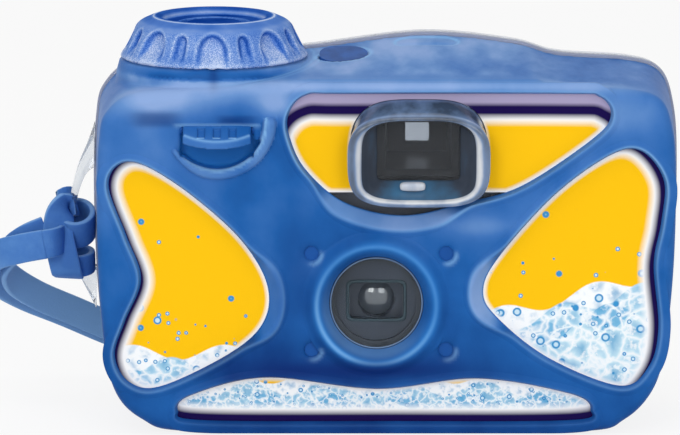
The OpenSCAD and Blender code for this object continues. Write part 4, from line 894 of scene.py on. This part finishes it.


# Viewfinder hood: its rim as (mm outside, depth) with a painted light level at each point, for its highlights
# and darker bands, and the funnel down to the tunnel
HOOD_PROFILE = [(-2.9, -24.6), (-2.5, -25.1), (-1.9, -25.45), (-1.2, -25.6), (-0.5, -25.5), (-0.1, -25.2),
                (0, -24.8), (-0.1, -24.2), (-0.4, -22.6), (-0.6, -21.2), (-0.6, -20.0)]
RIM_TONES = [0.7, 1.0, 0.85, 0.3, 0.22, 0.45, 0.95, 0.45, 0.15, 0.15, 0.9]
HOOD_BACK, BACK_TONE = -3.4, 0.3
Y_FOOT, HOOD_DEPTH, HOOD_FALL, HOOD_TAPER, SLIM_FOOT, SLIM_TOP = -20.0, 5.6, 0.3, 0.15, 0.5, 0.7
TUNNEL_W, TUNNEL_H, Y_TUNNEL, SQUARE, FUNNEL_T = 17.0, 12.4, -19.9, 14, 0.3
# Greys from painted shade to painted highlight, on the rim and on the funnel
RIM_GREYS = [(0.0, rgb(70, 84, 104)), (0.5, rgb(132, 160, 202)), (1.0, rgb(246, 250, 254))]
FUNNEL_GREYS = [(0.0, rgb(36, 42, 52)), (0.4, rgb(70, 79, 94)), (0.8, rgb(74, 128, 170)),
                (1.0, rgb(204, 230, 246))]


def hood_loop(grow, y):
    """Outline of the hood at a depth: its top falls towards the front and its upper corners draw in."""
    line = soft_rect(HOOD_W, HOOD_H, HOOD_POINTS, HOOD_ROUND)
    up, low = (maximum(sign * line[:, 1], 0) * 2 / HOOD_H for sign in (1, -1))
    line = line + (grow * (1 - SLIM_FOOT * low ** 3 - SLIM_TOP * up ** 3))[:, None] * outward(line)
    ahead = clip((Y_FOOT - y) / HOOD_DEPTH, 0, 1)
    line[:, 0] *= 1 - HOOD_TAPER * up ** 2
    line[:, 1] -= HOOD_FALL * ahead * up * HOOD_H / 2
    return at_depth(line + FINDER, y)


def around(points):
    """How far each point of the hood lies to its foot, and to its top."""
    a = arctan2((points[:, 2] - FINDER[1]) / HOOD_H, (points[:, 0] - FINDER[0]) / HOOD_W)
    return maximum(-np.sin(a), 0), maximum(np.sin(a), 0)


def hood_plastic(name, stops, rough, clear_share, streaks):
    f = Finish(name, stops[1][1], rough, ior=1.45, clear=clear_share, coat=0.25, coat_rough=0.04)
    streak = f.spread(f.noise(230.0, 4.0, (1.0, 1.0, 0.35)), -streaks, streaks)
    level = f.math("ADD", f.value("light"), streak, True)
    return f.done(tint=f.ramp(level, stops), grain=900.0, depth=0.00001, rough_vary=0.03)


hood_rings = [hood_loop(grow, y) for grow, y in spline(HOOD_PROFILE, 3, False)]
hood_rings.append(hood_loop(HOOD_BACK, Y_FOOT))
points, faces = rings_mesh(hood_rings[::-1], loop=True)
low, high = around(points)
rim_light = hood_plastic("hood_rim", RIM_GREYS, 0.06, 0.3, 0.22)
tones = np.append(spline([(t,) for t in RIM_TONES], 3, False)[:, 0], BACK_TONE)[::-1]
# Painted light: the rim darker towards its top and lighter at its foot
light = np.repeat(tones, HOOD_POINTS) * (1 - 0.4 * smooth(0.2, 0.8, high)) + 0.25 * smooth(0.6, 1.0, low)
add_mesh("viewfinder_hood_frame", points, faces, rim_light, "clear_plastic", ("viewfinder_hood",),
         {"light": clip(light, 0, 1)})

well_loop = hood_loop(*HOOD_PROFILE[0])
mouth = at_depth(soft_rect(TUNNEL_W, TUNNEL_H, HOOD_POINTS, SQUARE) + FINDER, Y_TUNNEL)
wall = [well_loop + (mouth - well_loop) * t for t in np.linspace(0, 1, 9)]
back_wall = [ring + (0, FUNNEL_T, 0) for ring in wall[::-1]]
points, faces = rings_mesh(wall + back_wall, loop=True)
low, high = around(points)
# Painted light on the funnel: lighter at its foot, darker towards its top
light = 0.4 + 0.3 * smooth(0.7, 1.0, low) - 0.2 * smooth(0.4, 0.9, high)
funnel_mat = hood_plastic("hood_funnel", FUNNEL_GREYS, 0.1, 0.1, 0.1)
add_mesh("viewfinder_hood_funnel", points, faces, funnel_mat, "clear_plastic",
         attributes={"light": clip(light, 0, 1)}, sharp=50)

# A dark plate in the tunnel that leaves a small bright field, as (width, height, depth)
FIELD_MASK = [(16.6, 12.2, 8.0), (16.6, 12.2, 9.0), (6.0, 5.6, 9.0), (5.4, 5.0, 8.4), (6.0, 5.6, 8.0)]
rings = [at_depth(soft_rect(w, h, 96, SQUARE) + FINDER, y) for w, h, y in FIELD_MASK]
add_mesh("finder_field_mask", *rings_mesh(rings, loop=True),
         dark_plastic("field_plastic", rgb(40, 42, 47), 0.4), "dark_plastic", sharp=40)

# A small clear catch on the hood's floor, painted almost white as its highlight
TAB, TAB_TONE = (5.4, 52.1), 0.95
TAB_RINGS = [(4.2, 1.0, -23.4), (5.0, 1.6, -23.2), (5.3, 2.0, -22.4), (5.0, 1.8, -21.6), (4.4, 1.2, -21.4)]
points, faces = rings_mesh([at_depth(soft_rect(w, h, 32, 3.5) + TAB, y) for w, h, y in TAB_RINGS])
add_mesh("viewfinder_hood_tab", points, faces, rim_light, "clear_plastic",
         attributes={"light": np.full(len(points), TAB_TONE)})

# Strap lug: pairs of outer and inner edge along the bow
LUG = [((-61.0, 60.5), (-60.8, 50.5)), ((-62.7, 55.8), (-62.1, 50)), ((-64.4, 51.8), (-63.2, 48.6)),
       ((-65.7, 47.4), (-64.3, 45.8)), ((-66.7, 43), (-65.0, 42.6)), ((-67.1, 38), (-65.3, 38)),
       ((-67.0, 34), (-65.2, 34)), ((-66, 30), (-64.2, 31)), ((-64, 26.4), (-62.7, 29.9)),
       ((-62.2, 22.8), (-61.6, 29.8)), ((-61, 20.2), (-60.8, 29.8))]
section = soft_rect(2.0, 2 * LUG_R, 24, 2.6)
lug_rings = []
for edge in spline([a + b for a, b in LUG], 6, False):
    a, b = edge[:2], edge[2:]
    lug_rings.append(at_depth((a + b) / 2 + section[:, :1] * (a - b) / 2, LUG_Y + section[:, 1]))
lug_mat = Finish("lug_clear", rgb(240, 244, 248), 0.03, ior=1.45, clear=0.9, coat=0.5)
lug_mat = lug_mat.done(vary=0.1, blotch=140.0, grain=700.0, depth=0.00001)
add_mesh("strap_lug_bow", *rings_mesh(lug_rings), lug_mat, "clear_plastic", ("strap_lug",))


# Labels: a printed sheet in each opening, with its borders by distance from the edge. For each, the waves'
# height and rise and the bubbles per metre; and how far the violet border reaches in from its side
LABELS = {"left": (17.0, 0.0, 260.0), "right": (19.0, 0.26, 240.0), "top": (20.0, 0.0, 200.0),
          "bottom": (12.0, 0.0, 420.0)}
BORDER_SHIFT = {"left": (1.55, -0.5), "right": (-1.95, -0.7), "top": (0.0, -5.3), "bottom": (0.0, 2.4)}
LABEL_T, LABEL_LAP, LABEL_GAP, LABEL_CUT_Z, LABEL_STEP = 0.24, 0.28, 0.03, 50.5, 0.7
CUT_LINE = np.array([(-24.0, LABEL_CUT_Z), (40.0, LABEL_CUT_Z)])
YELLOW, WHITE, FOAM = rgb(255, 198, 12), rgb(255, 255, 255), rgb(250, 253, 255)
WAVES = [rgb(248, 252, 255), rgb(176, 216, 238), rgb(126, 188, 226), rgb(196, 228, 243)]
WAVE_PITCH, WAVE_SWELL, WAVE_DROP, SPRAY = 330.0, 0.0016, 2.6, 20.0
HOOD_FOOT = -0.45
foot_line = hood_loop(HOOD_FOOT, Y_FOOT)[:, [0, 2]]
foot_map = distance_map(foot_line)


def label_print(name, wave_height, wave_rise, bubbles):
    """Yellow field, white and deep violet border, and plain rolling waves with round bubbles."""
    f = Finish("label_" + name, YELLOW, 0.3, ior=1.45, gloss=0.08)
    x, z = f.axis(0), f.axis(2)
    field = YELLOW
    for k, colour in enumerate(WAVES):
        swell = f.math("SINE", f.math("MULTIPLY", x, WAVE_PITCH + 60 * k))
        crest = f.math("ADD", f.math("MULTIPLY", swell, WAVE_SWELL), f.math("MULTIPLY", x, wave_rise))
        level = f.math("SUBTRACT", f.math("ADD", crest, (wave_height - WAVE_DROP * k) * MM), z)
        cover = f.math("MULTIPLY", level, 4000.0, True)
        water = cover if k == 0 else water
        field = f.mix(cover, field, colour)
    bent = f.warp(bubbles * 1.2, 0.003)
    web = f.node("TexVoronoi", Scale=bubbles * 1.1, feature="DISTANCE_TO_EDGE", Vector=bent)
    web = web.outputs["Distance"]
    deep = f.math("MULTIPLY", f.spread(web, 0.0, 0.7, 0.1, 0.45), water)
    field = f.mix(deep, field, rgb(74, 158, 206))
    ripple = f.math("MULTIPLY", f.spread(web, 0.85, 0.0, 0.01, 0.12), water)
    field = f.mix(ripple, field, FOAM)
    foam = f.math("MULTIPLY", f.spread(f.noise(bubbles * 3.0, 5.0), 0.0, 0.8, 0.52, 0.64), water)
    field = f.mix(foam, field, FOAM)
    rise = f.math("SUBTRACT", z, f.math("ADD", f.math("MULTIPLY", x, wave_rise), wave_height * MM))
    for scale in (bubbles, bubbles * 1.9):
        dots = f.node("TexVoronoi", Scale=scale, Randomness=0.9, Vector=f.place)
        pick = f.node("SeparateColor", Color=dots.outputs["Color"])
        rare = f.math("GREATER_THAN", pick.outputs[0], f.spread(rise, 0.3, 0.98, -0.006, SPRAY * MM))
        disc, shine = (f.math("MULTIPLY", f.math("SUBTRACT", size, dots.outputs["Distance"]), 24.0, True)
                       for size in (0.24, 0.15))
        bubble = f.math("MULTIPLY", disc, rare)
        field = f.mix(bubble, field, rgb(60, 148, 206))
        field = f.mix(f.math("MULTIPLY", shine, bubble), field, rgb(206, 232, 246))
    edge, border = f.value("edge"), f.value("border")
    field = f.mix(f.spread(edge, 1.0, 0.0, 0.0001, 0.001), field, WHITE)
    field = f.mix(f.spread(border, 1.0, 0.0, 0.0, 0.0016), field, WHITE)
    field = f.mix(f.spread(border, 1.0, 0.0, -0.0012, 0.0002), field, rgb(22, 4, 74))
    field = f.mix(f.spread(border, 1.0, 0.0, -0.0035, -0.0026), field, rgb(174, 164, 196))
    return f.done(tint=field, grain=1800.0, depth=0.000004, rough_vary=0.03)


def label(name, material):
    """Closed sheet in an opening; the top one leaves out the hood's foot and ends above the lens."""
    line, field, shift = opening_lines[name], opening_maps[name], BORDER_SHIFT[name]
    loops = [line + LABEL_LAP * outward(line)]
    if name == "top":
        loops += [foot_line, CUT_LINE]
    verts, edges = [], []
    for loop in loops:
        n, start = len(loop), len(verts)
        verts += [tuple(p) for p in loop]
        edges += [(start + i, start + (i + 1) % n) for i in range(n if n > 2 else 1)]
    lo, hi = line.min(0), line.max(0)
    gx, gz = np.meshgrid(np.arange(lo[0], hi[0], LABEL_STEP), np.arange(lo[1], hi[1], LABEL_STEP))
    spare = np.stack([gx.ravel(), gz.ravel()], 1)
    verts += [tuple(p) for p in spare[sample(field, *spare.T) < -0.1]]
    flat, _, tris, _, _, _ = delaunay_2d_cdt([Vector(v) for v in verts], edges, [], 0, 1e-5)
    flat = np.array([tuple(v) for v in flat])
    tris = np.array([t for t in tris if len(t) == 3])
    middle = flat[tris].mean(1)
    inside = sample(field, *middle.T) < LABEL_LAP - 0.02
    if name == "top":
        inside &= (sample(foot_map, *middle.T) > -0.01) & (middle[:, 1] > LABEL_CUT_Z)
    used, tris = np.unique(tris[inside], return_inverse=True)
    flat, tris = flat[used], tris.reshape(-1, 3)
    n = len(flat)
    sheet = [at_depth(flat, Y_LABEL + LABEL_GAP + thick) for thick in (0, LABEL_T)]
    pairs = {(a, b): None for t in tris for a, b in zip(t, np.roll(t, -1))}
    faces = [tuple(t) for t in tris] + [tuple(t[::-1] + n) for t in tris]
    faces += [(b, a, a + n, b + n) for a, b in pairs if (b, a) not in pairs]
    own = -sample(field, *flat.T)
    if name == "top":
        own = minimum(own, minimum(flat[:, 1] - LABEL_CUT_Z, sample(foot_map, *flat.T) + 0.4))
    moved = -sample(field, flat[:, 0] - shift[0], flat[:, 1] - shift[1])
    add_mesh("label_print_" + name, np.concatenate(sheet), faces, material, "label_print", ("label_" + name,),
             {"edge": np.tile(own * MM, 2), "border": np.tile(moved * MM, 2)}, sharp=40)


for name, waves in LABELS.items():
    label(name, label_print(name, *waves))


# Lens: the frame round the mask's well, and the window's bevelled edge, painted pale as its highlight
MASK_WELL = (12.6, 8.9)
WELL_SECTION = [(0, -17.45), (-0.1, -17.75), (-0.35, -17.85), (-0.6, -17.75), (-0.75, -17.45)]
WINDOW_R, Y_WINDOW, WINDOW_EDGE = 8.45, -20.05, 0.16
well_rings = [at_depth(soft_rect(MASK_WELL[0] + 2 * grow, MASK_WELL[1] + 2 * grow, 96, 9) + LENS, y)
              for grow, y in WELL_SECTION]
add_mesh("lens_well_frame", *rings_mesh(well_rings[::-1], loop=True),
         dark_plastic("well_frame", rgb(66, 84, 94), 0.2), "dark_plastic")
edge_section = [(0, WINDOW_R + WINDOW_EDGE * math.cos(a), Y_WINDOW + WINDOW_EDGE * math.sin(a))
                for a in np.linspace(0, 2 * np.pi, 9)[:-1]]
add_mesh("lens_window_edge", *rim(lens_ring, edge_section),
         dark_plastic("window_edge", rgb(112, 140, 176), 0.15), "clear_plastic")


# Finishes of the carried-over pieces, and the angle from which their edges stay sharp
DARK = {
    "mask_plastic": ((70, 77, 90), 0.3, ["lens_mask", "lens_barrel"]),
    "tunnel_plastic": ((14, 15, 18), 0.3, ["viewfinder_tunnel"]),
    "frame_plastic": ((44, 47, 52), 0.5,
                      ["inner_frame", "inner_back", "aperture_plate", "supply_spool", "cassette_spool"]),
    # The inner front is lighter than the frame plastic: a painted reflection of the clear liner in front of
    # it
    "front_plastic_painted_reflection": ((86, 92, 104), 0.5, ["inner_front"]),
    "seal_rubber": ((34, 36, 39), 0.7, ["lever_seal", "shaft_seal"]),
    "window_rubber": ((70, 76, 86), 0.5, ["window_seal"]),
    "gasket_rubber": ((176, 186, 200), 0.6, ["case_gasket"]),
    "white_plastic": ((216, 219, 222), 0.4,
                      ["wind_shaft", "shaft_bush", "drive_fork", "sprocket_wheel", "counter_dial"]),
    "film_base": ((70, 52, 44), 0.2, ["film_strip", "film_roll"])}
liner = Finish("liner_clear", rgb(214, 219, 227), 0.08, ior=1.16, clear=0.965)
counter = Finish("counter_clear", rgb(44, 104, 190), 0.12, ior=1.3, clear=0.2, gloss=0.1)
lens_glass = Finish("lens_glass", rgb(84, 91, 102), 0.07, ior=1.8, coat=1.0, coat_rough=0.03)
cassette = Finish("cassette_metal", rgb(196, 164, 40), 0.35, metal=0.6)
steel = Finish("spring_steel", rgb(178, 181, 186), 0.3, metal=1.0)
FINISHES = [
    (liner.done(vary=0.05, depth=0.000004), ["front_liner"]),
    (counter.done(vary=0.45, blotch=260.0, depth=0.000004), ["counter_window"]),
    (clear_plastic("window_glass", rgb(246, 249, 250)),
     ["lens_window", "eyepiece_window", "finder_front_lens"]),
    (clear_plastic("rear_glass", rgb(206, 208, 213)), ["finder_rear_lens"]),
    (lens_glass.done(vary=0.1, depth=0.0000001, rough_vary=0.01), ["taking_lens"]),
    (small_blue(), ["shell_pins", "lever_bracket", "lever_pin"]),
    (steel.done(vary=0.15, grain=3000.0),
     ["lever_spring", "shutter_spring", "shutter_blade", "shutter_trigger"]),
    (cassette.done(vary=0.15), ["film_cassette"])]
for name, (colour, rough, names) in DARK.items():
    FINISHES.append((dark_plastic(name, rgb(*colour), rough), names))
CAD_SHARP = math.radians(34)
for finish, names in FINISHES:
    for name in names:
        mesh = nodes[name].data
        mesh.materials.clear()
        mesh.materials.append(finish)
        mesh.polygons.foreach_set("use_smooth", [True] * len(mesh.polygons))
        mesh.set_sharp_from_angle(angle=CAD_SHARP)


# Floor, sky and lamps, in metres and watts
FLOOR_HALF, FLOOR_Z, FLOOR_WHITE = 4.0, -0.0004, 0.85
SKY_LIGHT, SKY_SEEN = 0.56, 0.96
LAMP_AIM = Vector((0, 0, 0.04))
LAMPS = {"top_lamp": ((-0.1, -0.25, 0.8), (0.6, 0.3), 1.2),
         "left_lamp": ((-0.4, -1.0, 0.48), (0.42, 0.5), 2.7),
         "right_lamp": ((0.4, -1.0, 0.44), (0.42, 0.5), 2.0)}


def seen(tree):
    """One for rays that show the background itself, to the camera or in gloss and glass."""
    path = tree.nodes.new("ShaderNodeLightPath")
    total = path.outputs["Is Camera Ray"]
    for kind in ("Is Glossy Ray", "Is Transmission Ray"):
        n = tree.nodes.new("ShaderNodeMath")
        n.operation = "MAXIMUM"
        tree.links.new(total, n.inputs[0])
        tree.links.new(path.outputs[kind], n.inputs[1])
        total = n.outputs[0]
    return total


def floor():
    """Pale paper that takes the object's shadow and shows as nearly white."""
    mesh = bpy.data.meshes.new("floor")
    corners = [(x * FLOOR_HALF, y * FLOOR_HALF, 0) for x, y in ((-1, -1), (1, -1), (1, 1), (-1, 1))]
    mesh.from_pydata(corners, [], [(0, 1, 2, 3)])
    obj = add_object("floor", mesh)
    obj.location.z = FLOOR_Z
    paper = Finish("floor_paper", rgb(250, 250, 250), 0.8, gloss=0.1)
    mesh.materials.append(paper.done(vary=0.01, grain=400.0))
    white = paper.node("Emission")
    blend = paper.node("MixShader")
    end = paper.tree.nodes["Material Output"]
    paper.link(paper.math("MULTIPLY", seen(paper.tree), FLOOR_WHITE), blend.inputs[0])
    paper.link(paper.shader.outputs[0], blend.inputs[1])
    paper.link(white.outputs[0], blend.inputs[2])
    paper.link(blend.outputs[0], end.inputs["Surface"])


def sky():
    """Even white light all round, and a white background."""
    world = bpy.data.worlds.new("studio")
    bpy.context.scene.world = world
    world.use_nodes = True
    tree = world.node_tree
    shader = tree.nodes["Background"]
    shader.inputs["Color"].default_value = (1, 1, 1, 1)
    level = tree.nodes.new("ShaderNodeMapRange")
    level.inputs["To Min"].default_value, level.inputs["To Max"].default_value = SKY_LIGHT, SKY_SEEN
    tree.links.new(seen(tree), level.inputs["Value"])
    tree.links.new(level.outputs["Result"], shader.inputs["Strength"])


def lamp(name, place, size, watts):
    light = bpy.data.lights.new(name, "AREA")
    light.shape = "RECTANGLE"
    light.size, light.size_y = size
    light.energy = watts
    obj = add_object(name, light)
    obj.location = place
    obj.rotation_euler = (LAMP_AIM - Vector(place)).to_track_quat("-Z", "Y").to_euler()


floor()
sky()
for name, settings in LAMPS.items():
    lamp(name, *settings)
